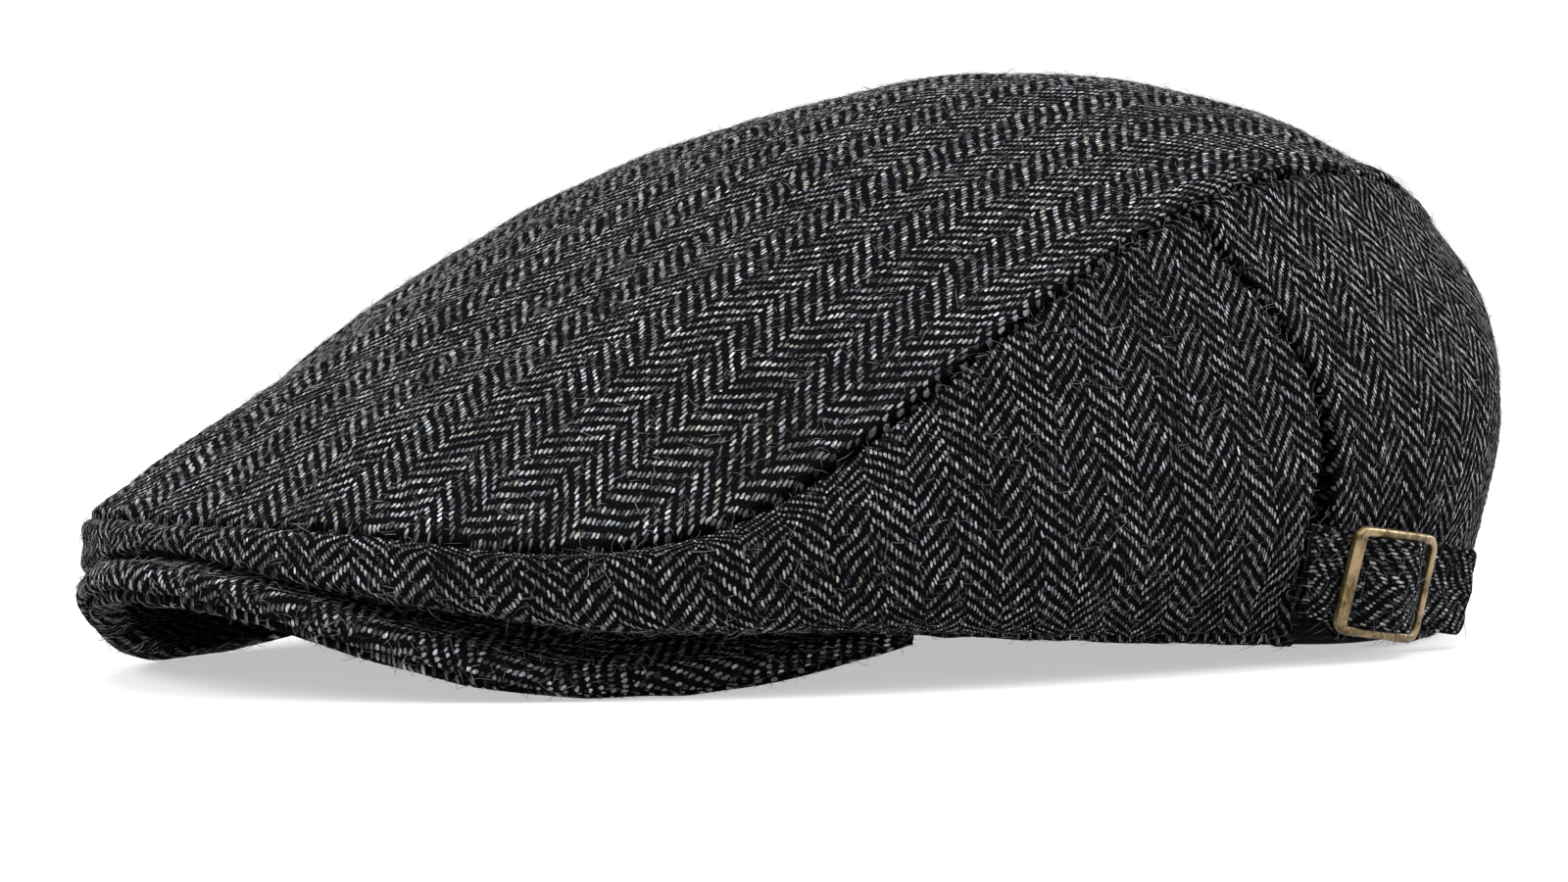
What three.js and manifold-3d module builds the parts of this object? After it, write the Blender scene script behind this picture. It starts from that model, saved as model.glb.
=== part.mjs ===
// A tweed flat cap at its real size, in millimetres. +Z is up, the peak points along -Y and the
// wearer's left is +X. The pieces are drawn round the centre of the head opening, and the whole
// cap is then set with the middle of its footprint at the origin, on the resting plane.
import * as THREE from "three";
import { mergeVertices } from "three/addons/utils/BufferGeometryUtils.js";
import Module from "manifold-3d";

const wasm = await Module();
wasm.setup();

// Crown: an egg-shaped plan outline, widest at the belly line, under a domed top panel.
const crownHeight = 98.5;
const crownFront = 142.3;
const crownSide = 101.8;
const crownBack = 114.5;
const crownFrontSquareness = 2.1;
const crownBackSquareness = 2.18;
const cloth = 1.8;

// Head opening: the rim rises at the front, where the peak joins it.
const headFront = 101;
const headSide = 86;
const headBack = 103;
const headSquareness = 2.2;
const frontRise = 21.3;
const tuckRise = 8.5;
const hem = 3;
// The hem lies flat over the peak and stands upright from the second of these angles on.
const hemLies = 35;
const hemStands = 65;

// Peak: a curved board covered in cloth, with a rolled edge.
const peakReach = 47;
const peakDrop = 13.3;
const peakThickness = 5.6;
const peakRoot = 3;
const peakHalfAngle = 57;
const peakRootDepth = 2.4;

// Sweatband: a plain strip inside the rim.
const sweatband = 1.2;
const sweatbandHeight = 18;

// Adjusting strap on the left, its buckle and the tab that holds the buckle's middle bar.
const strapWidth = 15;
const strapThickness = 1.6;
const strapStartAngle = 98.5;
const strapStartHeight = 15.6;
const strapFall = 0.115;
const strapLead = 19.5;
const strapTail = 30.5;
const strapTailStand = 3.4;
const strapCorner = 2.5;
const leanStart = 17;
const leanEnd = 11.5;
const buckleLength = 25.2;
const buckleBar = 1.6;
const buckleThickness = 1.6;
const buckleCorner = 3.2;
const middleBar = 1.4;
const tabThickness = 0.8;
const tabWidth = 11;
const tabLength = 15;
const tabNeck = 2.9;
const slitWidth = 12;

// Clearance between sewn or seated pieces; each panel stops its own share short of the top seam.
const gap = 0.3;
const seamShare = 0.18;

// How finely the curved faces are divided.
const topRings = 9;
const topSpokes = 72;
const sideRows = 14;
const bandColumns = 53;
const backColumns = 29;
const peakColumns = 45;
const peakSteps = 5;
const rollSteps = 6;
const sweatbandColumns = 64;
const strapRows = 7;
const strapColumns = 61;

// Every 30 degrees from the front to the back, the same on both sides.
// seam: radius of the top seam, as a share of the crown's plan outline
// belly: height of the widest line, as a share of the crown's height
// rim: height of the rim, as a share of the front rise
const crownSections = [
  { seam: 0.97, belly: 0.26, rim: 1.0 },
  { seam: 1.0, belly: 0.21, rim: 0.63 },
  { seam: 0.95, belly: 0.24, rim: 0.4 },
  { seam: 0.865, belly: 0.285, rim: 0.21 },
  { seam: 0.825, belly: 0.37, rim: 0.045 },
  { seam: 0.875, belly: 0.48, rim: 0 },
  { seam: 0.905, belly: 0.565, rim: 0 },
];

// Evenly spaced along the top panel, from its front end to its back end.
// spine: height of the middle line; drop: fall from it to the side seam; shares of the crown's height
// fullness: power of the fall, low for a ridge and high for a flat top with rounded shoulders
const topSections = [
  { spine: 0.29, drop: 0.55, fullness: 3.2 },
  { spine: 0.497, drop: 0.37, fullness: 3.1 },
  { spine: 0.695, drop: 0.2, fullness: 2.5 },
  { spine: 0.89, drop: 0.18, fullness: 2.0 },
  { spine: 1.0, drop: 0.2, fullness: 1.9 },
  { spine: 0.965, drop: 0.26, fullness: 1.9 },
  { spine: 0.765, drop: 0.3, fullness: 1.9 },
];

// Every 15 degrees from the front to the back: the line where the side turns in under itself.
// reach: share of the way from the rim out to the crown's outline
// lift: height above the rim, as a share of the tuck's rise
const tuckSections = [
  { reach: 0.94, lift: 0.14 },
  { reach: 0.93, lift: -0.14 },
  { reach: 0.9, lift: -0.25 },
  { reach: 0.82, lift: 0.02 },
  { reach: 0.7, lift: 0.25 },
  { reach: 0.58, lift: 0.45 },
  { reach: 0.51, lift: 0.64 },
  { reach: 0.51, lift: 0.85 },
  { reach: 0.52, lift: 0.96 },
  { reach: 0.52, lift: 0.98 },
  { reach: 0.51, lift: 0.96 },
  { reach: 0.5, lift: 0.98 },
  { reach: 0.5, lift: 1.0 },
];

// Every ten degrees from the middle of the peak to its end.
// reach: share of the peak's reach; drop: under edge below the rim, as a share of the peak's drop
// thick: share of the peak's thickness
const peakStep = 10;
const peakSections = [
  { reach: 1.0, drop: 0.39, thick: 1.0 },
  { reach: 0.895, drop: 0.5, thick: 1.0 },
  { reach: 0.695, drop: 0.8, thick: 1.0 },
  { reach: 0.475, drop: 1.0, thick: 1.0 },
  { reach: 0.255, drop: 0.83, thick: 0.95 },
  { reach: 0.075, drop: 0.44, thick: 0.7 },
  { reach: -0.01, drop: 0.07, thick: 0.1 },
];

// Every fifth of the way from the top seam down to the rim: the side panel's rear edge.
// side: its angle in degrees; slit: how far it stands open, as a share of the slit's width
const backSeam = [
  { side: 90.5, slit: 0 },
  { side: 101, slit: 0 },
  { side: 98.9, slit: 0.33 },
  { side: 100.3, slit: 0.48 },
  { side: 103.2, slit: 0.7 },
  { side: 106, slit: 1 },
];

const rad = THREE.MathUtils.degToRad;
const { clamp, lerp, smoothstep } = THREE.MathUtils;

// A smooth curve through evenly spaced values; past each end it mirrors or runs straight on.
function through(values, at, mirrorStart = true, mirrorEnd = true) {
  const last = values.length - 1;
  const place = clamp(at, 0, last);
  const i = Math.min(Math.floor(place), last - 1);
  const t = place - i;
  const before = mirrorStart ? values[1] : 2 * values[0] - values[1];
  const after = mirrorEnd ? values[last - 1] : 2 * values[last] - values[last - 1];
  const p0 = i > 0 ? values[i - 1] : before;
  const p3 = i + 2 <= last ? values[i + 2] : after;
  return hermite(values[i], values[i + 1], (values[i + 1] - p0) / 2, (p3 - values[i]) / 2, t);
}

function hermite(p, q, tangentP, tangentQ, t) {
  const t2 = t * t;
  const t3 = t2 * t;
  return (2 * t3 - 3 * t2 + 1) * p + (t3 - 2 * t2 + t) * tangentP
    + (3 * t2 - 2 * t3) * q + (t3 - t2) * tangentQ;
}

// Angle from the front, 0 to 180 degrees, the same on both sides.
function fromFront(angle) {
  const turned = ((angle % 360) + 360) % 360;
  return turned > 180 ? 360 - turned : turned;
}

const column = (table, name) => table.map((row) => row[name]);
const around = (table, name, angle) =>
  through(column(table, name), fromFront(angle) * (table.length - 1) / 180);

function ovalRadius(angle, front, side, back, frontPower, backPower) {
  const s = Math.abs(Math.sin(rad(angle)));
  const c = Math.cos(rad(angle));
  const reach = c >= 0 ? front : back;
  const power = c >= 0 ? frontPower : backPower;
  return ((s / side) ** power + (Math.abs(c) / reach) ** power) ** (-1 / power);
}

const polar = (angle, radius, height) =>
  new THREE.Vector3(radius * Math.sin(rad(angle)), -radius * Math.cos(rad(angle)), height);

const crownRadius = (angle) => ovalRadius(
  angle, crownFront, crownSide, crownBack, crownFrontSquareness, crownBackSquareness);
const rimRadius = (angle) => ovalRadius(
  angle, headFront, headSide, headBack, headSquareness, headSquareness);
const rimHeight = (angle) => Math.max(0, frontRise * around(crownSections, "rim", angle));
const seamRadius = (angle) => crownRadius(angle) * around(crownSections, "seam", angle);

const topFront = -seamRadius(0);
const topBack = seamRadius(180);
const topHalf = seamRadius(90);

// Height of the top panel's outer face.
function topHeight(x, y) {
  const at = (y - topFront) / (topBack - topFront) * (topSections.length - 1);
  const spine = through(column(topSections, "spine"), at, false, false);
  const drop = through(column(topSections, "drop"), at, false, false);
  const fullness = through(column(topSections, "fullness"), at, false, false);
  return crownHeight * (spine - drop * (Math.abs(x) / topHalf) ** fullness);
}

// The four points that a section of the side passes through, as [radius, height] outside and in.
function sideSection(angle) {
  const rim = [rimRadius(angle), rimHeight(angle)];
  const belly = [crownRadius(angle), crownHeight * around(crownSections, "belly", angle)];
  const tuck = [
    lerp(rim[0], belly[0], around(tuckSections, "reach", angle)),
    rim[1] + tuckRise * around(tuckSections, "lift", angle),
  ];
  const seamAt = polar(angle, seamRadius(angle), 0);
  const seam = [seamRadius(angle), topHeight(seamAt.x, seamAt.y)];
  return [seam, belly, tuck, rim];
}

// Radius and height on a section, from 0 at the seam to 1 at the rim.
function alongSection(points, u) {
  const [seam, belly, tuck, rim] = points;
  const bellyFullness = 0.2;
  const value = (k) => {
    const turnIn = k === 0 ? bellyFullness : 1;
    const atBelly = (tuck[k] - seam[k]) / 2 * turnIn;
    const atTuck = (rim[k] - belly[k]) / 2;
    const atSeam = 1.5 * (belly[k] - seam[k]) - atBelly / 2;
    const atRim = 1.5 * (rim[k] - tuck[k]) - atTuck / 2;
    if (u < 1 / 3) return hermite(seam[k], belly[k], atSeam, atBelly, u * 3);
    if (u < 2 / 3) return hermite(belly[k], tuck[k], atBelly, atTuck, u * 3 - 1);
    return hermite(tuck[k], rim[k], atTuck, atRim, u * 3 - 2);
  };
  return [value(0), value(1)];
}

// The way through the cloth at the top seam, shared by the panels on both sides of it.
function seamNormal(angle) {
  const step = 1;
  const r = seamRadius(angle);
  const inside = polar(angle, r - step, 0);
  const edge = polar(angle, r, 0);
  const slope = topHeight(edge.x, edge.y) - topHeight(inside.x, inside.y);
  const points = sideSection(angle);
  const below = alongSection(points, 0.02);
  const top = new THREE.Vector2(-slope, step).normalize();
  const side = new THREE.Vector2(points[0][1] - below[1], below[0] - points[0][0]).normalize();
  return top.add(side).normalize();
}

// The same section inside the cloth.
function innerSection(angle) {
  const [seam, belly, tuck, rim] = sideSection(angle);
  const atSeam = seamNormal(angle);
  const under = new THREE.Vector2(belly[1] - rim[1], rim[0] - belly[0]).normalize();
  const upright = smoothstep(fromFront(angle), hemLies, hemStands);
  return [
    [seam[0] - cloth * atSeam.x, seam[1] - cloth * atSeam.y],
    [belly[0] - cloth, belly[1]],
    [tuck[0] - cloth * under.x, tuck[1] - cloth * under.y],
    [rim[0] - hem * upright, rim[1] + cloth * (1 - upright)],
  ];
}

// A point on the side, flattened where it rests.
function sidePoint(angle, u, inside) {
  const [radius, height] = alongSection(inside ? innerSection(angle) : sideSection(angle), u);
  return polar(angle, radius, Math.max(0, height));
}

// Closed bodies from grids of points.
function quads(rows, columns, flip, triangles, index) {
  for (let i = 0; i + 1 < rows; i += 1) {
    for (let j = 0; j + 1 < columns; j += 1) {
      const [a, b, c, d] = [index(i, j), index(i, j + 1), index(i + 1, j + 1), index(i + 1, j)];
      if (flip) triangles.push(a, b, c, a, c, d);
      else triangles.push(a, c, b, a, d, c);
    }
  }
}

function bodyGeometry(points, triangles) {
  const geometry = new THREE.BufferGeometry();
  geometry.setAttribute("position", new THREE.Float32BufferAttribute(points.flatMap((p) => p.toArray()), 3));
  geometry.setIndex(triangles);
  return geometry;
}

// A wall between two grids of the same size: outer(i, j) and inner(i, j), closed all round.
function wall(rows, columns, outer, inner) {
  const points = [];
  const at = (side) => (i, j) => (side * rows + i) * columns + j;
  for (const face of [outer, inner]) {
    for (let i = 0; i < rows; i += 1) {
      for (let j = 0; j < columns; j += 1) points.push(face(i, j));
    }
  }
  const [out, back] = [at(0), at(1)];
  const triangles = [];
  quads(rows, columns, false, triangles, out);
  quads(rows, columns, true, triangles, back);
  const strip = (near, far, count) => {
    for (let k = 0; k + 1 < count; k += 1) {
      triangles.push(near(k), near(k + 1), far(k + 1), near(k), far(k + 1), far(k));
    }
  };
  strip((k) => out(0, k), (k) => back(0, k), columns);
  strip((k) => back(rows - 1, k), (k) => out(rows - 1, k), columns);
  strip((k) => back(k, 0), (k) => out(k, 0), rows);
  strip((k) => out(k, columns - 1), (k) => back(k, columns - 1), rows);
  return bodyGeometry(points, triangles);
}

// A ring swept from closed sections: section(j) is a list of points, the last joins the first.
function sweptRing(count, section) {
  const sections = Array.from({ length: count }, (_, j) => section(j));
  const size = sections[0].length;
  const triangles = [];
  for (let j = 0; j < count; j += 1) {
    const next = (j + 1) % count;
    for (let k = 0; k < size; k += 1) {
      const up = (k + 1) % size;
      const [a, b, c, d] = [j * size + k, next * size + k, next * size + up, j * size + up];
      triangles.push(a, b, c, a, c, d);
    }
  }
  return bodyGeometry(sections.flat(), triangles);
}

// A bar swept from closed sections, with a flat fan at each end.
function sweptBar(sections) {
  const size = sections[0].length;
  const points = sections.flat();
  const triangles = [];
  for (let j = 0; j + 1 < sections.length; j += 1) {
    for (let k = 0; k < size; k += 1) {
      const up = (k + 1) % size;
      const [a, b, c, d] = [j * size + k, (j + 1) * size + k, (j + 1) * size + up, j * size + up];
      triangles.push(a, b, c, a, c, d);
    }
  }
  const last = (sections.length - 1) * size;
  for (let k = 1; k + 1 < size; k += 1) {
    triangles.push(0, k, k + 1);
    triangles.push(last, last + k + 1, last + k);
  }
  return bodyGeometry(points, triangles);
}

// Turns a body's faces outwards if they all point in.
function faceOut(geometry) {
  const position = geometry.getAttribute("position");
  const order = geometry.getIndex().array;
  const [a, b, c] = [new THREE.Vector3(), new THREE.Vector3(), new THREE.Vector3()];
  let volume = 0;
  for (let i = 0; i < order.length; i += 3) {
    a.fromBufferAttribute(position, order[i]);
    b.fromBufferAttribute(position, order[i + 1]);
    c.fromBufferAttribute(position, order[i + 2]);
    volume += a.dot(b.cross(c));
  }
  if (volume < 0) {
    for (let i = 0; i < order.length; i += 3) [order[i], order[i + 1]] = [order[i + 1], order[i]];
  }
  return geometry;
}

function asSolid(geometry) {
  const plain = geometry.clone();
  for (const name of Object.keys(plain.attributes)) {
    if (name !== "position") plain.deleteAttribute(name);
  }
  const merged = mergeVertices(plain, 1e-4);
  return new wasm.Manifold(new wasm.Mesh({
    numProp: 3,
    vertProperties: new Float32Array(merged.getAttribute("position").array),
    triVerts: new Uint32Array(merged.getIndex().array),
  }));
}

function fromSolid(solid) {
  const mesh = solid.getMesh();
  const geometry = new THREE.BufferGeometry();
  geometry.setAttribute("position", new THREE.Float32BufferAttribute(mesh.vertProperties, 3));
  geometry.setIndex(Array.from(mesh.triVerts));
  return geometry;
}

// The domed top panel, from the front edge to the back.
function crownTop() {
  const rings = topRings;
  const spokes = topSpokes;
  // The way through the cloth turns to the shared one over the outermost ring and a half.
  const turnFrom = 1 - 1.5 / rings;
  const point = (i, j, inside) => {
    const angle = 360 * j / spokes;
    const edge = seamRadius(angle) - seamShare;
    const share = i / rings;
    const at = polar(angle, edge * share, 0);
    const outer = polar(angle, edge * share, topHeight(at.x, at.y));
    if (!inside) return outer;
    const h = 0.5;
    const slopeX = (topHeight(at.x + h, at.y) - topHeight(at.x - h, at.y)) / (2 * h);
    const slopeY = (topHeight(at.x, at.y + h) - topHeight(at.x, at.y - h)) / (2 * h);
    const normal = new THREE.Vector3(-slopeX, -slopeY, 1).normalize();
    const atSeam = seamNormal(angle);
    const shared = polar(angle, atSeam.x, atSeam.y);
    normal.lerp(shared, smoothstep(share, turnFrom, 1)).normalize();
    return outer.addScaledVector(normal, -cloth);
  };
  const points = [point(0, 0, false)];
  const lower = point(0, 0, true);
  for (let i = 1; i <= rings; i += 1) {
    for (let j = 0; j < spokes; j += 1) points.push(point(i, j, false));
  }
  const offset = points.length;
  points.push(lower);
  for (let i = 1; i <= rings; i += 1) {
    for (let j = 0; j < spokes; j += 1) points.push(point(i, j, true));
  }
  const triangles = [];
  const at = (base, i, j) => base + 1 + (i - 1) * spokes + (j % spokes);
  for (let j = 0; j < spokes; j += 1) {
    triangles.push(0, at(0, 1, j), at(0, 1, j + 1));
    triangles.push(offset, at(offset, 1, j + 1), at(offset, 1, j));
    for (let i = 1; i < rings; i += 1) {
      const [a, b, c, d] = [at(0, i, j), at(0, i + 1, j), at(0, i + 1, j + 1), at(0, i, j + 1)];
      triangles.push(a, b, c, a, c, d);
      const [e, f, g, k] = [a, b, c, d].map((n) => n + offset);
      triangles.push(e, g, f, e, k, g);
    }
    const [p, q] = [at(0, rings, j), at(0, rings, j + 1)];
    triangles.push(p, p + offset, q + offset, p, q + offset, q);
  }
  return faceOut(bodyGeometry(points, triangles));
}

const sideEdge = (u) => through(column(backSeam, "side"), u * (backSeam.length - 1), false, false);
function openSlit(u) {
  const share = Math.max(0, through(column(backSeam, "slit"), u * (backSeam.length - 1), false, false));
  return slitWidth * share;
}
const asAngle = (length, angle) => THREE.MathUtils.radToDeg(length / crownRadius(angle));

// A piece of the side between two edges: from(u) and to(u) give their angles.
function sidePanel(columns, from, to) {
  const firstRow = seamShare / crownHeight;
  const point = (inside) => (i, j) => {
    const u = lerp(firstRow, 1, i / (sideRows - 1));
    return sidePoint(lerp(from(u), to(u), j / (columns - 1)), u, inside);
  };
  return faceOut(wall(sideRows, columns, point(false), point(true)));
}

// The panel that runs from the left rear seam round the front to the right rear seam.
const sideBand = () => sidePanel(bandColumns, (u) => -sideEdge(u), sideEdge);

// The panel across the back. On the left it stands off the side panel, under the strap.
function backPanel() {
  const leftEdge = (u) => sideEdge(u) + asAngle(gap + openSlit(u), sideEdge(u));
  const rightEdge = (u) => 360 - sideEdge(u) - asAngle(gap, sideEdge(u));
  return sidePanel(backColumns, leftEdge, rightEdge);
}

const overPeak = (name, angle) =>
  through(column(peakSections, name), Math.abs(angle) / peakStep, true, false);

// The peak's section at an angle: under face, rolled edge, top face, ending at its root.
function peakSection(angle) {
  const rim = rimRadius(angle);
  const height = rimHeight(angle);
  const thick = peakThickness * overPeak("thick", angle);
  const roll = thick / 2;
  const edge = rim + peakReach * overPeak("reach", angle);
  const under = Math.max(0, height - peakDrop * overPeak("drop", angle));
  const middle = under + roll;
  const rootIn = rim - peakRootDepth;
  const rootTop = height - gap;
  const rootUnder = rootTop - Math.min(peakRoot, thick);
  const points = [];
  // Half straight and half levelled off at both ends.
  const slope = (t) => (t + smoothstep(t, 0, 1)) / 2;
  for (let i = 0; i <= peakSteps; i += 1) {
    const t = i / peakSteps;
    points.push([lerp(rootIn, edge, t), lerp(rootUnder, under, slope(t))]);
  }
  for (let i = 1; i < rollSteps; i += 1) {
    const turn = Math.PI * (i / rollSteps - 0.5);
    points.push([edge + roll * Math.cos(turn), middle + roll * Math.sin(turn)]);
  }
  for (let i = peakSteps; i >= 0; i -= 1) {
    const t = i / peakSteps;
    points.push([lerp(rootIn, edge, t), lerp(rootTop, middle + roll, slope(t))]);
  }
  return points.map(([r, z]) => polar(angle, r, z));
}

function peak() {
  const sections = Array.from({ length: peakColumns }, (_, j) =>
    peakSection(lerp(-peakHalfAngle, peakHalfAngle, j / (peakColumns - 1))));
  return faceOut(sweptBar(sections));
}

function sweatbandRing() {
  return faceOut(sweptRing(sweatbandColumns, (j) => {
    const angle = 360 * j / sweatbandColumns;
    const outer = rimRadius(angle) - hem - gap;
    const foot = rimHeight(angle);
    return [
      polar(angle, outer, foot),
      polar(angle, outer, foot + sweatbandHeight),
      polar(angle, outer - sweatband, foot + sweatbandHeight),
      polar(angle, outer - sweatband, foot),
    ];
  }));
}

// Radius of the side's outer face at a height between the belly and the rim.
function sideRadiusAt(angle, height) {
  const points = sideSection(angle);
  const halvings = 24;
  let [low, high] = [1 / 3, 1];
  for (let i = 0; i < halvings; i += 1) {
    const middle = (low + high) / 2;
    if (alongSection(points, middle)[1] > height) low = middle;
    else high = middle;
  }
  return alongSection(points, low)[0];
}

// The line that the strap follows round the left rear, as evenly spaced frames.
const strapFrames = (() => {
  const step = 0.5;
  const spare = 4;
  const length = strapLead + strapTail;
  const raw = [];
  let travelled = 0;
  for (let angle = strapStartAngle; travelled < length + spare; angle += step) {
    const share = clamp(travelled / length, 0, 1);
    const lean = rad(lerp(leanStart, leanEnd, share));
    const height = strapStartHeight - strapFall * travelled;
    const reach = [-1, -0.5, 0, 0.5, 1].map((v) => {
      const across = v * strapWidth / 2;
      return sideRadiusAt(angle, height + across * Math.cos(lean)) - across * Math.sin(lean);
    });
    const at = polar(angle, Math.max(...reach) + gap, height);
    if (raw.length) travelled += raw[raw.length - 1].at.distanceTo(at);
    raw.push({ at, lean, travelled });
  }
  return raw;
})();

// A place on the strap's line: along it from the buckle's middle, up it and out from it.
function onStrap(along, up, out) {
  const distance = along + strapLead;
  const reach = 6;
  let i = strapFrames.findIndex((frame) => frame.travelled > distance);
  i = i < 1 ? (i === 0 ? 1 : strapFrames.length - 1) : i;
  const [a, b] = [strapFrames[i - 1], strapFrames[i]];
  const t = (distance - a.travelled) / (b.travelled - a.travelled);
  const before = strapFrames[Math.max(0, i - reach)].at;
  const after = strapFrames[Math.min(strapFrames.length - 1, i + reach - 1)].at;
  const ahead = after.clone().sub(before).setZ(0).normalize();
  const outward = new THREE.Vector3(ahead.y, -ahead.x, 0);
  const lean = lerp(a.lean, b.lean, t);
  const rise = outward.clone().multiplyScalar(Math.sin(lean)).setZ(Math.cos(lean));
  const normal = outward.multiplyScalar(Math.cos(lean)).setZ(-Math.sin(lean));
  return a.at.clone().lerp(b.at, t).addScaledVector(rise, up).addScaledVector(normal, out);
}

// Heights above the strap's line of what is stacked at the buckle.
const windowHalf = buckleLength / 2 - buckleBar;
const strapLow = tabThickness + gap;
const buckleLevel = strapLow + strapThickness + gap + buckleThickness / 2;
const eyeInner = middleBar / 2 + gap;
const eyeOuter = eyeInner + tabThickness;
const strapHigh = buckleLevel + eyeOuter + gap;

// How far the strap's under face stands off its line.
function strapStand(along) {
  if (along < -windowHalf) return strapLow * smoothstep(along, -strapLead, -windowHalf);
  if (along > windowHalf) {
    const tail = smoothstep(along, windowHalf + buckleBar, strapTail);
    return lerp(strapLow, strapTailStand, tail);
  }
  const bump = (1 + Math.cos(Math.PI * along / windowHalf)) / 2;
  return lerp(strapLow, strapHigh, bump);
}

// The strap: sewn at the front, threaded through the buckle, with rounded corners on its tail.
function strap() {
  const halfAt = (along) => {
    const left = Math.min(strapTail - along, strapCorner);
    const cut = strapCorner - Math.sqrt(strapCorner ** 2 - (strapCorner - left) ** 2);
    return strapWidth / 2 - cut;
  };
  const centre = (along) => onStrap(along, 0, strapStand(along));
  const point = (top) => (i, j) => {
    const along = lerp(-strapLead, strapTail, j / (strapColumns - 1));
    const up = halfAt(along) * lerp(1, -1, i / (strapRows - 1));
    const foot = onStrap(along, up, strapStand(along));
    if (!top) return foot;
    const ahead = centre(along + gap).sub(centre(along - gap));
    const rise = onStrap(along, 1, 0).sub(onStrap(along, 0, 0));
    return foot.addScaledVector(ahead.cross(rise).normalize(), strapThickness);
  };
  return faceOut(wall(strapRows, strapColumns, point(true), point(false)));
}

// The buckle: a rounded frame bent to the head's curve, with a thin middle bar.
function buckle() {
  const halfLong = buckleLength / 2 - buckleBar / 2;
  const halfHigh = strapWidth / 2 + gap + buckleBar / 2;
  const path = [];
  const corners = [[1, 1, 0], [-1, 1, 90], [-1, -1, 180], [1, -1, 270]];
  const turns = 5;
  const radius = buckleCorner - buckleBar / 2;
  for (const [sideways, up, start] of corners) {
    for (let i = 0; i <= turns; i += 1) {
      const turn = rad(start + 90 * i / turns);
      path.push({
        along: sideways * (halfLong - radius) + radius * Math.cos(turn),
        up: up * (halfHigh - radius) + radius * Math.sin(turn),
        out: [Math.cos(turn), Math.sin(turn)],
      });
    }
  }
  const frame = sweptRing(path.length, (j) => {
    const { along, up, out } = path[j];
    return octagon(buckleBar / 2, buckleThickness / 2).map(([a, b]) =>
      onStrap(along + a * out[0], up + a * out[1], buckleLevel + b));
  });
  const bar = sweptBar([-1, 1].map((end) =>
    octagon(middleBar / 2, middleBar / 2).map(([a, b]) =>
      onStrap(a, end * halfHigh, buckleLevel + b))));
  return fromSolid(asSolid(faceOut(frame)).add(asSolid(faceOut(bar))));
}

// An eight-sided section with the given half sizes.
function octagon(halfWide, halfHigh) {
  const cut = 0.6 * Math.min(halfWide, halfHigh);
  const [w, h] = [halfWide, halfHigh];
  return [
    [w, -h + cut], [w, h - cut], [w - cut, h], [-w + cut, h],
    [-w, h - cut], [-w, -h + cut], [-w + cut, -h], [w - cut, -h],
  ];
}

// The tab: sewn to the back panel under the strap, with an eye round the buckle's middle bar.
function buckleTab() {
  const shape = new THREE.Shape();
  shape.moveTo(tabLength, 0);
  shape.lineTo(tabLength, tabThickness);
  const steps = 4;
  for (let i = 1; i < steps; i += 1) shape.lineTo(lerp(tabLength, tabNeck, i / steps), tabThickness);
  shape.lineTo(tabNeck, tabThickness);
  shape.absarc(0, buckleLevel, eyeOuter, rad(-20), rad(250), false);
  shape.lineTo(0, buckleLevel - eyeOuter);
  for (let i = 0; i < steps; i += 1) shape.lineTo(lerp(tabNeck, tabLength, i / steps), 0);
  const hole = new THREE.Path();
  hole.absarc(0, buckleLevel, eyeInner, 0, 2 * Math.PI, true);
  shape.holes.push(hole);
  const geometry = new THREE.ExtrudeGeometry(shape, {
    depth: tabWidth, bevelEnabled: false, curveSegments: 12,
  });
  const position = geometry.getAttribute("position");
  for (let i = 0; i < position.count; i += 1) {
    const place = onStrap(position.getX(i), position.getZ(i) - tabWidth / 2, position.getY(i));
    position.setXYZ(i, place.x, place.y, place.z);
  }
  geometry.deleteAttribute("normal");
  geometry.deleteAttribute("uv");
  return faceOut(mergeVertices(geometry, 1e-4));
}

const tweed = { color: 0x35373b, roughness: 0.95, metalness: 0 };
const brass = { color: 0x8f7448, roughness: 0.42, metalness: 1 };
const lining = { color: 0x0c0c0e, roughness: 0.8, metalness: 0 };

function piece(name, geometry, look) {
  geometry.computeVertexNormals();
  const mesh = new THREE.Mesh(geometry, new THREE.MeshStandardMaterial(look));
  mesh.name = name;
  return mesh;
}

const group = new THREE.Group();
group.add(piece("crown_top", crownTop(), tweed));
group.add(piece("side_band", sideBand(), tweed));
group.add(piece("back_panel", backPanel(), tweed));
group.add(piece("peak", peak(), tweed));
group.add(piece("strap", strap(), tweed));
group.add(piece("buckle", buckle(), brass));
group.add(piece("buckle_tab", buckleTab(), lining));
group.add(piece("sweatband", sweatbandRing(), lining));

const footprint = new THREE.Box3().setFromObject(group, true);
const middle = footprint.getCenter(new THREE.Vector3());
group.position.set(-middle.x, -middle.y, -footprint.min.z);
group.updateMatrixWorld(true);

export default group;
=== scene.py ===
# The looks of a tweed flat cap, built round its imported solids.
#
# Every shape is worked out in millimetres about the middle of the head opening, from the same
# sizes as the solids, and is put into the row frame, in metres, when its mesh is made.
import math

import bmesh
import bpy
import numpy as np
from mathutils import Matrix, Vector


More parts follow.
